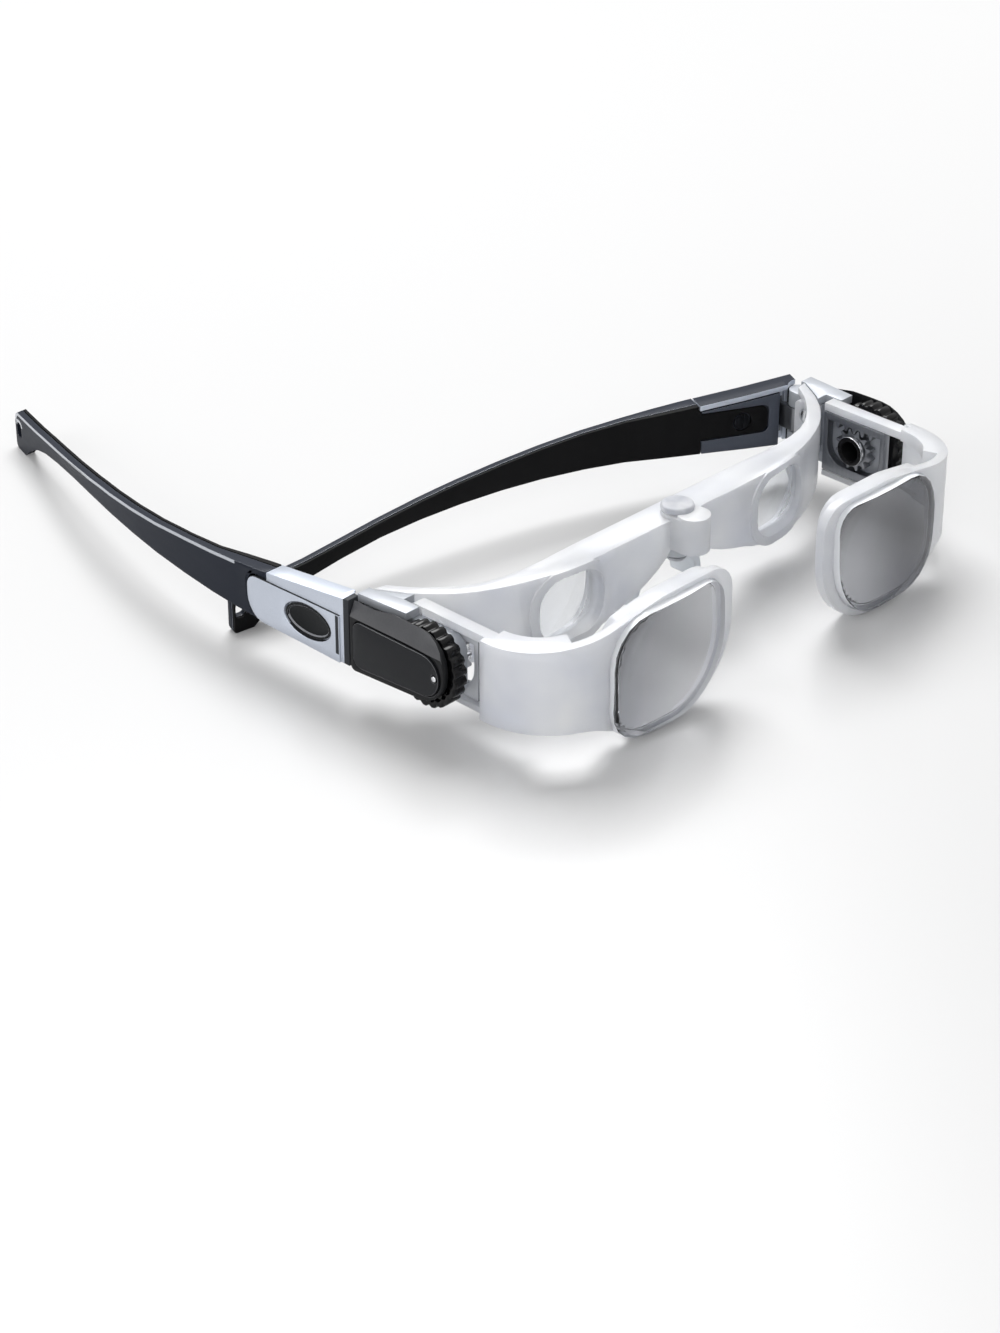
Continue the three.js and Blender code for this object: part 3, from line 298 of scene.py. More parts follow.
# Lacquers: fine flakes with a little cloud, and streaks that change the roughness
lacquerLooks = {
    "silver": {
        "name": "silverLacquer", "dark": (0.50, 0.54, 0.62, 1), "light": (0.66, 0.71, 0.80, 1),
        "metal": 0.55, "rough": 0.3, "coat": 0.2, "gloss": 0.5,
    },
    "slate": {
        "name": "slateLacquer", "dark": (0.010, 0.013, 0.021, 1),
        "light": (0.019, 0.024, 0.038, 1), "metal": 0.0, "rough": 0.34, "coat": 0.0, "gloss": 0.1,
    },
    # Painted highlight for the temple's upper edge and the arm's eased edges
    "slateEdgeHighlight": {
        "name": "slateEdgeHighlight", "dark": (0.42, 0.44, 0.49, 1), "light": (0.62, 0.65, 0.7, 1),
        "metal": 0.2, "rough": 0.2, "coat": 0.4, "gloss": 0.5,
    },
    "slateInner": {
        "name": "slateInner", "dark": (0.05, 0.058, 0.078, 1), "light": (0.08, 0.09, 0.115, 1),
        "metal": 0.1, "rough": 0.35, "coat": 0.0, "gloss": 0.3,
    },
    # Painted shade for the hinge block's seam, the strip behind its plate's step and the step's
    # edge
    "blockShade": {
        "name": "grooveShade", "dark": (0.02, 0.022, 0.026, 1), "light": (0.05, 0.054, 0.06, 1),
        "metal": 0.2, "rough": 0.5, "coat": 0.0, "gloss": 0.2,
    },
    "shelf": {
        "name": "shelfLacquer", "dark": (0.34, 0.36, 0.39, 1), "light": (0.45, 0.47, 0.51, 1),
        "metal": 0.2, "rough": 0.36, "coat": 0.2, "gloss": 0.5,
    },
    "slideFace": {
        "name": "slideFace", "dark": (0.60, 0.62, 0.66, 1), "light": (0.74, 0.76, 0.79, 1),
        "metal": 0.1, "rough": 0.4, "coat": 0.1, "gloss": 0.5,
    },
}


def lacquer(name, dark, light, metal, rough, coat, gloss):
    paint = Finish(name)
    flakes = paint.noise(0.00016, 1.0)
    cloud = paint.noise(0.02, 2.0)
    streak = paint.noise(0.0012, 3.0, (1, 0.05, 1))
    share = (flakes * 0.9 + cloud * 0.5 - 0.2).clamped()
    return paint.surface(
        color=paint.blendColors(share, dark, light), metal=metal, roughness=rough + streak * 0.1,
        coat=coat, coatRoughness=0.18, gloss=gloss, normal=paint.bump(flakes, 0.1, 0.00003),
    )


# Moulded plastics and rubber: a fine grain, a slow cloud and a little wear
plasticLooks = {
    "charcoal": {
        "name": "charcoalPlastic", "dark": (0.006, 0.0065, 0.0075, 1),
        "light": (0.013, 0.0135, 0.015, 1), "rough": 0.34, "grainSize": 0.0004,
        "grainDepth": 0.00004, "gloss": 0.18,
    },
    "badge": {
        "name": "badgePlastic", "dark": (0.009, 0.010, 0.012, 1),
        "light": (0.016, 0.017, 0.020, 1), "rough": 0.3, "grainSize": 0.0005,
        "grainDepth": 0.00003, "gloss": 0.18,
    },
    # Painted highlight on the badge plate's eased edges
    "badgeEdgeHighlight": {
        "name": "badgeEdgeHighlight", "dark": (0.05, 0.052, 0.058, 1), "light": (0.1, 0.103, 0.11, 1),
        "rough": 0.22, "grainSize": 0.0005, "grainDepth": 0.00003, "gloss": 0.5,
    },
    "gloss": {
        "name": "glossPlastic", "dark": (0.0012, 0.0012, 0.0016, 1),
        "light": (0.003, 0.003, 0.0035, 1), "rough": 0.12, "grainSize": 0.0012,
        "grainDepth": 0.00003, "gloss": 0.22,
    },
    "lensEdge": {
        "name": "lensEdge", "dark": (0.78, 0.8, 0.83, 1), "light": (0.9, 0.91, 0.93, 1),
        "rough": 0.4, "grainSize": 0.0005, "grainDepth": 0.00003, "gloss": 0.4,
    },
    # Painted shade inside the axle's bore
    "bore": {
        "name": "boreShade", "dark": (0.001, 0.001, 0.0012, 1), "light": (0.003, 0.003, 0.0035, 1),
        "rough": 0.5, "grainSize": 0.0004, "grainDepth": 0.00003, "gloss": 0.2,
    },
    "rubber": {
        "name": "linerRubber", "dark": (0.002, 0.002, 0.0025, 1),
        "light": (0.005, 0.005, 0.0055, 1), "rough": 0.6, "grainSize": 0.0003,
        "grainDepth": 0.00006, "gloss": 0.12,
    },
    # Painted highlight on the cover's top bevel
    "bandHighlight": {
        "name": "bandHighlightPlastic", "dark": (0.035, 0.036, 0.04, 1), "light": (0.11, 0.112, 0.12, 1),
        "rough": 0.24, "grainSize": 0.0004, "grainDepth": 0.00004, "gloss": 0.5,
    },
    "inset": {
        "name": "insetPlastic", "dark": (0.003, 0.0035, 0.004, 1),
        "light": (0.014, 0.016, 0.018, 1), "rough": 0.14, "grainSize": 0.0005,
        "grainDepth": 0.00003, "gloss": 0.1,
    },
    "insetGlint": {
        "name": "insetGlint", "dark": (0.16, 0.165, 0.18, 1), "light": (0.34, 0.35, 0.38, 1),
        "rough": 0.2, "grainSize": 0.0005, "grainDepth": 0.00003, "gloss": 0.5,
    },
}


def mouldedPlastic(name, dark, light, rough, grainSize, grainDepth, gloss):
    paint = Finish(name)
    grain = paint.noise(grainSize, 3.0)
    cloud = paint.noise(0.012, 2.0)
    wear = paint.noise(0.003, 4.0)
    return paint.surface(
        color=paint.blendColors((cloud * 0.7 + grain * 0.3).clamped(), dark, light),
        roughness=rough + wear * 0.12, gloss=gloss, normal=paint.bump(grain, 0.35, grainDepth),
    )


# Bare metals, brushed along their height
metalLooks = {
    "gunmetal": {
        "name": "gunmetal", "dark": (0.17, 0.175, 0.19, 1), "light": (0.3, 0.31, 0.33, 1),
        "rough": 0.3,
    },
    "steel": {
        "name": "brightSteel", "dark": (0.6, 0.61, 0.63, 1), "light": (0.82, 0.83, 0.85, 1),
        "rough": 0.14,
    },
    "darkSteel": {
        "name": "darkSteel", "dark": (0.005, 0.0055, 0.0065, 1), "light": (0.02, 0.021, 0.024, 1),
        "rough": 0.25,
    },
}


def brushedMetal(name, dark, light, rough):
    paint = Finish(name)
    lines = paint.noise(0.0004, 4.0, (1, 1, 0.04))
    cloud = paint.noise(0.008, 2.0)
    return paint.surface(
        color=paint.blendColors((lines * 0.7 + cloud * 0.3).clamped(), dark, light), metal=1.0,
        roughness=rough + lines * 0.16, normal=paint.bump(lines, 0.15, 0.00003),
    )


finishes = {"silicone": silicone(**siliconeLook)}
for make, looks in (
    (frostedResin, frostedLooks), (paintedShadeGlass, glassLooks), (lacquer, lacquerLooks),
    (mouldedPlastic, plasticLooks), (brushedMetal, metalLooks),
):
    for key, look in looks.items():
        finishes[key] = make(**look)
print("finishes made")


# The table, which turns to plain white away from the object and keeps the shadows near it
tableLook = {
    "size": 6, "color": (0.62, 0.62, 0.622, 1), "roughness": 0.3, "sheen": 0.04,
    "sheenSize": 0.4, "fadeStart": 0.12, "fadeRate": 4.0, "whiteNear": 0.04, "whiteFar": 0.6,
}


def makeTable():
    look = tableLook
    clearSelection()
    bpy.ops.mesh.primitive_plane_add(size=look["size"], location=(0, 0, cadLow.z))
    table = bpy.context.object
    table.name = "table"
    paint = Finish("tableWhite")
    sheen = paint.noise(look["sheenSize"], 1.0)
    away = paint.add("VectorMath", {0: paint.place()}, "Value", operation="LENGTH")
    farOff = ((away - look["fadeStart"]) * look["fadeRate"]).clamped()
    lit = paint.add("BsdfPrincipled", {
        "Base Color": look["color"], "Roughness": look["roughness"] + sheen * look["sheen"],
    })
    white = paint.add("Emission", {"Color": (1, 1, 1, 1), "Strength": 1.0})
    seen, through = rays(paint.tree, "Camera", "Transmission")
    whiteness = look["whiteNear"] + farOff * look["whiteFar"]
    paint.shown(paint.add(
        "MixShader", {0: (seen + through).clamped() * whiteness, 1: lit, 2: white}))
    table.data.materials.append(paint.material)


# The sky: white to the camera, a soft dome as light, brighter upwards in reflections
skyLook = {
    "dome": 0.23, "domeRise": 0.2, "mirror": 0.28, "mirrorRise": 1.5, "mirrorTop": 0.95,
    "through": 0.9,
}


def makeSky():
    look = skyLook
    world = bpy.data.worlds.new("studio")
    bpy.context.scene.world = world
    world.use_nodes = True
    tree = world.node_tree
    tree.nodes.clear()
    out = tree.nodes.new("ShaderNodeOutputWorld")
    back = tree.nodes.new("ShaderNodeBackground")
    coords = tree.nodes.new("ShaderNodeTexCoord")
    split = tree.nodes.new("ShaderNodeSeparateXYZ")
    tree.links.new(coords.outputs["Generated"], split.inputs[0])
    height = Flow(tree, split.outputs["Z"])
    camera, glossy, through = rays(tree, "Camera", "Glossy", "Transmission")
    dome = look["dome"] + height.clamped() * look["domeRise"]
    mirror = (height * look["mirrorRise"] + look["mirror"]).clamped() * look["mirrorTop"]
    straight = through * look["through"] + (1 - through) * dome
    unseen = glossy * mirror + (1 - glossy) * straight
    wire(tree, back.inputs["Strength"], camera + (1 - camera) * unseen)
    back.inputs["Color"].default_value = (1, 1, 1, 1)
    tree.links.new(back.outputs[0], out.inputs["Surface"])


makeCamera()
makeLamps()
makeTable()
makeSky()
print("studio ready")


# Modelling helpers; flatness, sharper and smoothing are angles in degrees
tracing = {"merge": 0.00002, "flatness": 0.06}
easing = {"segments": 2, "sharper": 32, "smoothing": 38}


def pick(piece):
    clearSelection()
    piece.select_set(True)
    bpy.context.view_layer.objects.active = piece


def editing(piece):
    pick(piece)
    bpy.ops.object.mode_set(mode="EDIT")
    bpy.context.tool_settings.mesh_select_mode = (False, False, True)
    bpy.ops.mesh.select_all(action="DESELECT")


def done():
    bpy.ops.object.mode_set(mode="OBJECT")


# Leaves the piece in edit mode with the faces chosen by centre and normal
def chooseFaces(piece, wanted):
    editing(piece)
    done()
    for face in piece.data.polygons:
        face.select = wanted(face.center, face.normal)
    bpy.ops.object.mode_set(mode="EDIT")


def applied(piece, kind, **settings):
    pick(piece)
    modifier = piece.modifiers.new(kind.lower(), kind)
    for key, value in settings.items():
        setattr(modifier, key, value)
    bpy.ops.object.modifier_apply(modifier=modifier.name)


# The eased edges take the piece's last finish, which on the temple arm and the badge plate is a
# painted highlight, and on the oval inset its glint
def bevelled(piece, width, segments=easing["segments"], angle=easing["sharper"]):
    applied(
        piece, "BEVEL", width=width, segments=segments, limit_method="ANGLE",
        angle_limit=math.radians(angle), use_clamp_overlap=True, miter_outer="MITER_ARC",
        material=len(piece.data.materials) - 1,
    )


def finished(piece, name, node, body, finish, smoothing=easing["smoothing"]):
    pick(piece)
    bpy.ops.object.shade_smooth_by_angle(angle=math.radians(smoothing), keep_sharp_edges=False)
    piece.name = name
    piece.data.name = name
    if not piece.data.materials:
        piece.data.materials.append(finishes[finish])
    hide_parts(node)
    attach(piece, body)


# A merged copy of a CAD node, with its flat faces whole again
def traced(node, merge=tracing["merge"]):
    clearSelection()
    piece = bpy.data.objects.new(node + "Copy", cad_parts[node].data.copy())
    bpy.context.scene.collection.objects.link(piece)
    piece.data.materials.clear()
    editing(piece)
    bpy.ops.mesh.select_all(action="SELECT")
    bpy.ops.mesh.remove_doubles(threshold=merge)
    bpy.ops.mesh.dissolve_degenerate(threshold=merge)
    bpy.ops.mesh.dissolve_limited(angle_limit=math.radians(tracing["flatness"]))
    done()
    return piece


def outward(piece):
    editing(piece)
    bpy.ops.mesh.select_all(action="SELECT")
    bpy.ops.mesh.normals_make_consistent(inside=False)
    done()


def placed(piece):
    pick(piece)
    bpy.ops.object.transform_apply(location=True, rotation=True, scale=True)


# The same piece on the other side of the plane of symmetry
def mirroredCopy(piece):
    pick(piece)
    bpy.ops.object.duplicate()
    twin = bpy.context.object
    twin.scale.x = -1
    placed(twin)
    outward(twin)
    return twin


def middleOf(node):
    low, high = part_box(node)
    return (low + high) / 2, high - low


def bodyOf(side, part):
    return part if part == "frame" else side + "_" + part


def cutWith(piece, cutter, operation):
    applied(piece, "BOOLEAN", operation=operation, object=cutter, solver="EXACT")
    bpy.data.objects.remove(cutter)


def sliced(piece, point, facing):
    editing(piece)
    bpy.ops.mesh.select_all(action="SELECT")
    bpy.ops.mesh.bisect(plane_co=tuple(point), plane_no=tuple(facing))
    done()


# Gives the faces that are wanted one more finish
def paintFaces(piece, finish, wanted):
    pick(piece)
    piece.data.materials.append(finishes[finish])
    chooseFaces(piece, wanted)
    piece.active_material_index = len(piece.data.materials) - 1
    bpy.ops.object.material_slot_assign()
    done()


# Frosted mouldings: eyepiece frame, nose post and objective carriers
mouldings = {
    "eyepieceFrame": {
        "node": "eyepiece_frame", "body": "frame", "soften": 0.00045, "finish": "frosted"},
    "nosePost": {"node": "nose_post", "body": "frame", "soften": 0.0003, "finish": "greyShaded"},
    "leftObjectiveCarrier": {
        "node": "left_objective_carrier", "body": "left_objective", "soften": 0.0005,
        "finish": "frosted"},
    "rightObjectiveCarrier": {
        "node": "right_objective_carrier", "body": "right_objective", "soften": 0.0005,
        "finish": "frosted"},
}
mouldingSegments = 3


def makeMouldings():
    for name, plan in mouldings.items():
        piece = traced(plan["node"])
        bevelled(piece, plan["soften"], mouldingSegments)
        finished(piece, name, plan["node"], plan["body"], plan["finish"])


# Nose saddle: soft, with every edge rounded over
saddleShape = {"voxel": 0.00035, "relax": 0.5, "rounds": 14, "smoothing": 80}


def makeSaddle():
    shape = saddleShape
    saddle = traced("nose_saddle")
    applied(saddle, "REMESH", mode="VOXEL", voxel_size=shape["voxel"])
    applied(saddle, "SMOOTH", factor=shape["relax"], iterations=shape["rounds"])
    finished(
        saddle, "noseSaddle", "nose_saddle", "frame", "silicone",
        shape["smoothing"])


# Lenses: two ball surfaces joined at the edge, then cut to the outline of their seat.
# A positive ball bulges outwards and a negative one is hollow. The seat's rear faces
# are those less than rearBand from the back.
lensShapes = {
    "eyepiece_lens": {
        "name": "EyepieceLens", "body": "frame", "frontBall": -0.0755, "rearBall": -0.0755,
        "dent": 0.00075, "steps": 40, "reach": 0.016, "chamfer": 0.00012, "rearBand": 0.01,
        "finish": {"left": "eyepieceGlass", "right": "eyepieceGlass"},
    },
    "objective_lens": {
        "name": "ObjectiveLens", "body": "objective", "frontBall": 0.1027, "rearBall": 0.308,
        "dent": 0.0, "steps": 56, "reach": 0.026, "chamfer": 0.00015, "rearBand": 0.0007,
        "finish": {"left": "leftObjectiveGlass", "right": "rightObjectiveGlass"},
    },
}
lensCut = {"reach": 0.003, "smoothing": 25, "endNormal": 0.5, "edgeNormal": 0.3}


def ballSheet(apex, ball, facing, shape):
    middle = Vector(apex)
    middle.y -= facing * ball
    clearSelection()
    bpy.ops.mesh.primitive_grid_add(
        x_subdivisions=shape["steps"], y_subdivisions=shape["steps"],
        size=2 * shape["reach"], location=middle, rotation=(math.pi / 2, 0, 0),
    )
    sheet = bpy.context.object
    bpy.ops.object.transform_apply(location=False, rotation=True, scale=True)
    editing(sheet)
    bpy.ops.mesh.select_all(action="SELECT")
    bpy.ops.transform.translate(value=(0, facing * ball, 0))
    done()
    applied(
        sheet, "CAST", cast_type="SPHERE", factor=1.0, radius=0.0, size=abs(ball),
        use_radius_as_size=False,
    )
    placed(sheet)
    return sheet


def ballPair(node, shape):
    low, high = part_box(node)
    middle = middleOf(node)[0]
    dent = shape["dent"]
    front = ballSheet((middle.x, low.y + dent, middle.z), shape["frontBall"], -1, shape)
    rear = ballSheet((middle.x, high.y - dent, middle.z), shape["rearBall"], 1, shape)
    pick(rear)
    front.select_set(True)
    bpy.ops.object.join()
    lens = bpy.context.object
    bpy.context.tool_settings.mesh_select_mode = (False, True, False)
    bpy.ops.object.mode_set(mode="EDIT")
    bpy.ops.mesh.select_all(action="DESELECT")
    bpy.ops.mesh.select_non_manifold()
    bpy.ops.mesh.bridge_edge_loops()
    done()
    outward(lens)
    return lens


# The seat's outline, drawn out past both faces of the lens and drawn in by as much
def lensOutline(node, shape):
    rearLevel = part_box(node)[1].y - shape["rearBand"]
    middle, size = middleOf(node)
    reach = lensCut["reach"]
    inward = [(span - 2 * reach) / span for span in (size.x, size.z)]
    outline = traced(node)
    for facing in (-1, 1):
        def isEnd(place, normal):
            isSeat = facing < 0 or place.y > rearLevel
            return isSeat and normal.y * facing > lensCut["endNormal"]

        chooseFaces(outline, isEnd)
        bpy.ops.transform.translate(value=(0, -facing * shape["chamfer"], 0))
        bpy.ops.mesh.extrude_region_move(
            TRANSFORM_OT_translate={"value": (0, facing * reach, 0)})
        bpy.ops.transform.resize(
            value=(inward[0], 1, inward[1]), center_override=tuple(middle))
        done()
    return outline


def makeLens(side, kind):
    shape = lensShapes[kind]
    node = side + "_" + kind
    lens = ballPair(node, shape)
    cutWith(lens, lensOutline(node, shape), "INTERSECT")
    outward(lens)
    glass = shape["finish"][side]
    lens.data.materials.append(finishes[glass])
    paintFaces(lens, "lensEdge", lambda place, normal: abs(normal.y) < lensCut["edgeNormal"])
    finished(
        lens, side + shape["name"], node, bodyOf(side, shape["body"]), glass,
        lensCut["smoothing"])


# Focus wheels: gloss black, lobed for the finger, with a dished outer face
wheelShape = {
    "lobes": 22,
    "stepsPerLobe": 6,
    "valley": 0.93,
    "flank": 0.965,
    "rim": 0.86,
    "dishRim": 0.96,
    "dish": 0.0006,
    "bore": 0.0030,
    "boreSteps": 48,
    "boreRunShare": 3,
    "faceNormal": 0.9,
    "soften": 0.00018,
    "sharper": 40,
}


def wheelDisc(steps, radius, depth):
    clearSelection()
    bpy.ops.mesh.primitive_cylinder_add(
        vertices=steps, radius=radius, depth=depth, location=middleOf("right_focus_wheel")[0],
        rotation=(0, math.pi / 2, 0),
    )
    disc = bpy.context.object
    placed(disc)
    return disc


# Draws in the rim's corners that stand at the wanted steps of each lobe
def squeezedRim(wheel, steps, wantedSteps, share):
    middle = middleOf("right_focus_wheel")[0]
    editing(wheel)
    done()
    bpy.context.tool_settings.mesh_select_mode = (True, False, False)
    for vertex in wheel.data.vertices:
        turn = math.atan2(vertex.co.z - middle.z, vertex.co.y - middle.y) / (2 * math.pi)
        step = round((turn + 1) * steps) % wheelShape["stepsPerLobe"]
        vertex.select = step in wantedSteps
    bpy.ops.object.mode_set(mode="EDIT")
    bpy.ops.transform.resize(value=(1, share, share), center_override=tuple(middle))
    done()


def makeWheel():
    shape = wheelShape
    middle, size = middleOf("right_focus_wheel")
    steps = shape["lobes"] * shape["stepsPerLobe"]
    wheel = wheelDisc(steps, size.z / 2, size.x)
    squeezedRim(wheel, steps, (0,), shape["valley"])
    squeezedRim(wheel, steps, (1, shape["stepsPerLobe"] - 1), shape["flank"])
    chooseFaces(wheel, lambda place, normal: -normal.x > shape["faceNormal"])
    for push, rim in ((0, shape["rim"]), (shape["dish"], shape["dishRim"])):
        bpy.ops.mesh.extrude_region_move(TRANSFORM_OT_translate={"value": (push, 0, 0)})
        bpy.ops.transform.resize(value=(1, rim, rim), center_override=tuple(middle))
    done()
    bore = wheelDisc(shape["boreSteps"], shape["bore"], size.x * shape["boreRunShare"])
    cutWith(wheel, bore, "DIFFERENCE")
    bevelled(wheel, shape["soften"], angle=shape["sharper"])
    return wheel


# Along the temple and out of its outer face, both flat
def blockAxes(side):
    away = middleOf(side + "_block_inset")[0] - middleOf(side + "_hinge_pin")[0]
    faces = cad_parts[side + "_block_inset"].data.polygons
    facing = max(faces, key=lambda face: face.area).normal.copy()
    facing.z = 0
    facing.normalize()
    if facing.dot(away) < 0:
        facing.negate()
    along = Vector((-facing.y, facing.x, 0))
    if along.dot(away) < 0:
        along.negate()
    return along, facing


# A painted highlight: a light line along the upper edge of a temple's outer face, which starts
# behind the block
templeHighlight = {"width": 0.0007, "start": 0.030, "aboveFace": 0.001, "faceNormal": 0.8}


def paintTopEdgeHighlight(piece, side):
    line = templeHighlight
    along, facing = blockAxes(side)
    hinge = middleOf(side + "_hinge_pin")[0]
    piece.data.materials.append(finishes["slateEdgeHighlight"])
    chooseFaces(piece, lambda place, normal: normal.dot(facing) > line["faceNormal"])
    bpy.ops.mesh.inset(thickness=line["width"], use_select_inset=True)
    piece.active_material_index = 1
    bpy.ops.object.material_slot_assign()
    done()
    outer = [
        (face.center.dot(along), face.center.z) for face in piece.data.polygons
        if face.material_index == 0 and face.normal.dot(facing) > line["faceNormal"]
    ]
    for face in piece.data.polygons:
        if face.material_index == 1:
            reach = face.center.dot(along)
            level = min(outer, key=lambda spot: abs(spot[0] - reach))[1]
            isLow = face.center.z < level + line["aboveFace"]
            if isLow or reach - hinge.dot(along) < line["start"]:
                face.material_index = 0


# The arm's upright faces beside the hinge block, which end at a share of the way from
# the hinge to the middle of the inset
innerArm = {"reachShare": 1.95, "roofNormal": 0.4}


def paintInnerArm(piece, side):
    hinge = middleOf(side + "_hinge_pin")[0]
    toInset = (middleOf(side + "_block_inset")[0] - hinge).to_2d().length
    reach = toInset * innerArm["reachShare"]

    def isInner(place, normal):
        isUpright = abs(normal.z) < innerArm["roofNormal"]
        return isUpright and (place - hinge).to_2d().length < reach

    paintFaces(piece, "slateInner", isInner)


# The oval inset: a raised rim round a shallow dish, with a glint under its upper rim
insetShape = {
    "rim": 0.0005, "slope": 0.0002, "depth": 0.00025, "floor": 0.0011, "floorDepth": 0.00015,
    "faceNormal": 0.95, "glintUp": 0.2, "glintOut": (0.3, 0.97),
}


def dishedFace(piece, side):
    shape = insetShape
    facing = blockAxes(side)[1]
    chooseFaces(piece, lambda place, normal: normal.dot(facing) > shape["faceNormal"])
    bpy.ops.mesh.inset(thickness=shape["rim"])
    bpy.ops.mesh.inset(thickness=shape["slope"])
    bpy.ops.transform.translate(value=tuple(facing * -shape["depth"]))
    bpy.ops.mesh.inset(thickness=shape["floor"])
    bpy.ops.transform.translate(value=tuple(facing * -shape["floorDepth"]))
    done()
    least, most = shape["glintOut"]

    def isGlint(place, normal):
        return normal.z > shape["glintUp"] and least < normal.dot(facing) < most

    paintFaces(piece, "insetGlint", isGlint)


# Hinge block: painted shade in a band at its front end where it meets the cover, in a
# strip behind the step of its raised plate, and on the step's own edge; distances from the
# front end, below the top and inwards from the outer face. The folded block's upper faces
# are painted slate-dark, also as painted shade.
blockShadeMarks = {
    "seam": 0.0014, "shadeStripStart": 0.0023, "shadeStripEnd": 0.0032, "shadeStripTop": 0.0042,
    "shadeStripFoot": 0.0126, "plateTop": 0.0039, "skin": 0.0035, "stepNormal": 0.8,
    "roofNormal": 0.5,
}


def paintBlockShade(piece, side):
    marks = blockShadeMarks
    along, facing = blockAxes(side)
    front = min(vertex.co.dot(along) for vertex in piece.data.vertices)
    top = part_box(side + "_hinge_block")[1].z
    depth = max(vertex.co.dot(facing) for vertex in piece.data.vertices) - marks["skin"]
    for reach in ("seam", "shadeStripStart", "shadeStripEnd"):
        sliced(piece, along * (front + marks[reach]), along)
    for drop in ("shadeStripTop", "shadeStripFoot"):
        sliced(piece, (0, 0, top - marks[drop]), (0, 0, 1))

    def isPaintedShade(place, normal):
        reach = place.dot(along) - front
        drop = top - place.z
        if place.dot(facing) < depth:
            return False
        inShadeStrip = marks["shadeStripStart"] < reach < marks["shadeStripEnd"]
        inShadeStrip = inShadeStrip and marks["shadeStripTop"] < drop < marks["shadeStripFoot"]
        onStep = normal.z > marks["stepNormal"] and drop > marks["plateTop"]
        return reach < marks["seam"] or inShadeStrip or onStep

    paintFaces(piece, "blockShade", isPaintedShade)
    # Painted shade: the folded block's upper faces are made slate-dark
    if side == "left":
        paintFaces(piece, "slate", lambda place, normal: normal.z > marks["roofNormal"])


# The axle's bore, which is painted dark as painted shade; its size as a share of its radius
boreShare = 0.72


def paintBoreShade(piece, side):
    middle, size = middleOf(side + "_focus_axle")
    bore = size.z / 2 * boreShare

    def inBore(place, normal):
        return math.hypot(place.y - middle.y, place.z - middle.z) < bore

    paintFaces(piece, "bore", inBore)


# The slide's outer face
slideNormal = 0.9


def paintSlideFace(piece, side):
    paintFaces(piece, "slideFace", lambda place, normal: normal.x * sides[side] > slideNormal)


# The cover's top bevel, between its outer face and its roof, painted lighter as a painted
# highlight
coverBandHighlight = {"out": (0.5, 0.985), "up": 0.15}


def paintBandHighlight(piece, side):
    least, most = coverBandHighlight["out"]

    def isBandHighlight(place, normal):
        return normal.z > coverBandHighlight["up"] and least < normal.x * sides[side] < most

    paintFaces(piece, "bandHighlight", isBandHighlight)


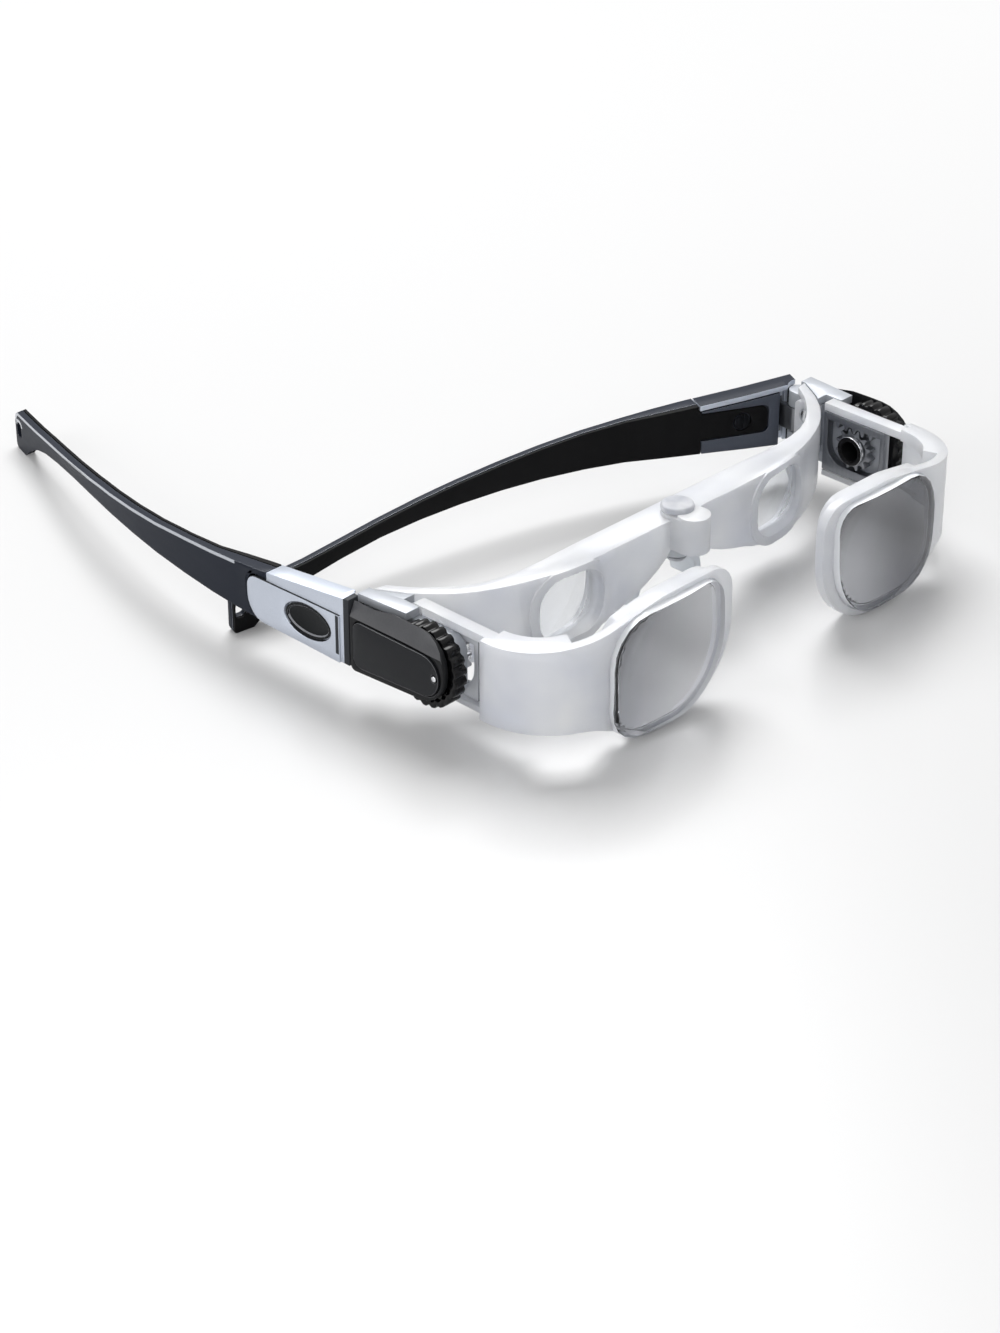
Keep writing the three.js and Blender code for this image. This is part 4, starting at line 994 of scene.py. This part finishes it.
# Pieces that keep the shape of their CAD node, with their edges eased. A piece may be
# shaped before its edges are eased, and painted after.
tracedPieces = {
    "focus_slide": {
        "name": "FocusSlide", "body": "objective", "finish": "gunmetal", "slot": "gunmetal",
        "soften": 0.0001, "paint": paintSlideFace},
    "focus_pinion": {
        "name": "FocusPinion", "body": "wheel", "finish": "gunmetal", "slot": "gunmetal",
        "soften": 0.00008},
    "focus_axle": {
        "name": "FocusAxle", "body": "wheel", "finish": "steel", "slot": "steel",
        "soften": 0.00012, "paint": paintBoreShade},
    "end_piece": {
        "name": "EndPiece", "body": "frame", "finish": "shelf", "slot": "housing_silver",
        "soften": 0.0002},
    "frame_screw_upper": {
        "name": "FrameScrewUpper", "body": "frame", "finish": "steel", "slot": "steel",
        "soften": 0.0001},
    "frame_screw_lower": {
        "name": "FrameScrewLower", "body": "frame", "finish": "steel", "slot": "steel",
        "soften": 0.0001},
    "side_cover": {
        "name": "SideCover", "body": "frame", "finish": "charcoal", "slot": "cover_charcoal",
        "soften": 0.0003, "paint": paintBandHighlight},
    # The badge plate's eased edges take a lighter colour as a painted highlight
    "badge_plate": {
        "name": "BadgePlate", "body": "frame", "finish": "badge", "edge": "badgeEdgeHighlight",
        "slot": "cover_charcoal", "soften": 0.00022},
    "index_dot": {
        "name": "IndexDot", "body": "frame", "finish": "steel", "slot": "steel",
        "soften": 0.00012},
    "hinge_pin": {
        "name": "HingePin", "body": "frame", "finish": "steel", "slot": "steel",
        "soften": 0.0001},
    "hinge_leaf": {
        "name": "HingeLeaf", "body": "temple", "finish": "gunmetal", "slot": "gunmetal",
        "soften": 0.00015},
    "hinge_block": {
        "name": "HingeBlock", "body": "temple", "finish": "silver", "slot": "silver",
        "soften": 0.00018, "paint": paintBlockShade},
    "block_inset": {
        "name": "BlockInset", "body": "temple", "finish": "inset", "slot": "gunmetal",
        "soften": 0.0002, "shape": dishedFace},
    "temple_arm": {
        "name": "TempleArm", "body": "temple", "finish": "slate", "slot": "slate",
        "soften": 0.0002, "merge": 0.00005, "shape": paintTopEdgeHighlight, "paint": paintInnerArm},
    "temple_liner": {
        "name": "TempleLiner", "body": "temple", "finish": "rubber", "slot": "liner_rubber",
        "soften": 0.00025},
    "temple_screw": {
        "name": "TempleScrew", "body": "temple", "finish": "darkSteel", "slot": "steel",
        "soften": 0.0001},
}


def makeTraced(side, kind):
    plan = tracedPieces[kind]
    node = side + "_" + kind
    piece = traced(node, plan.get("merge", tracing["merge"]))
    piece.data.materials.append(finishes[plan["finish"]])
    if "shape" in plan:
        plan["shape"](piece, side)
    if "edge" in plan:
        piece.data.materials.append(finishes[plan["edge"]])
    bevelled(piece, plan["soften"])
    finished(
        piece, side + plan["name"], node, bodyOf(side, plan["body"]), plan["finish"])
    if "paint" in plan:
        plan["paint"](piece, side)
    print(piece.name, len(piece.data.polygons), "faces")


makeMouldings()
makeSaddle()
rightWheel = makeWheel()
wheels = {"right": rightWheel, "left": mirroredCopy(rightWheel)}
for side in sides:
    for kind in tracedPieces:
        makeTraced(side, kind)
    for kind in lensShapes:
        makeLens(side, kind)
    finished(
        wheels[side], side + "FocusWheel", side + "_focus_wheel", side + "_wheel", "gloss")
print("pieces made")
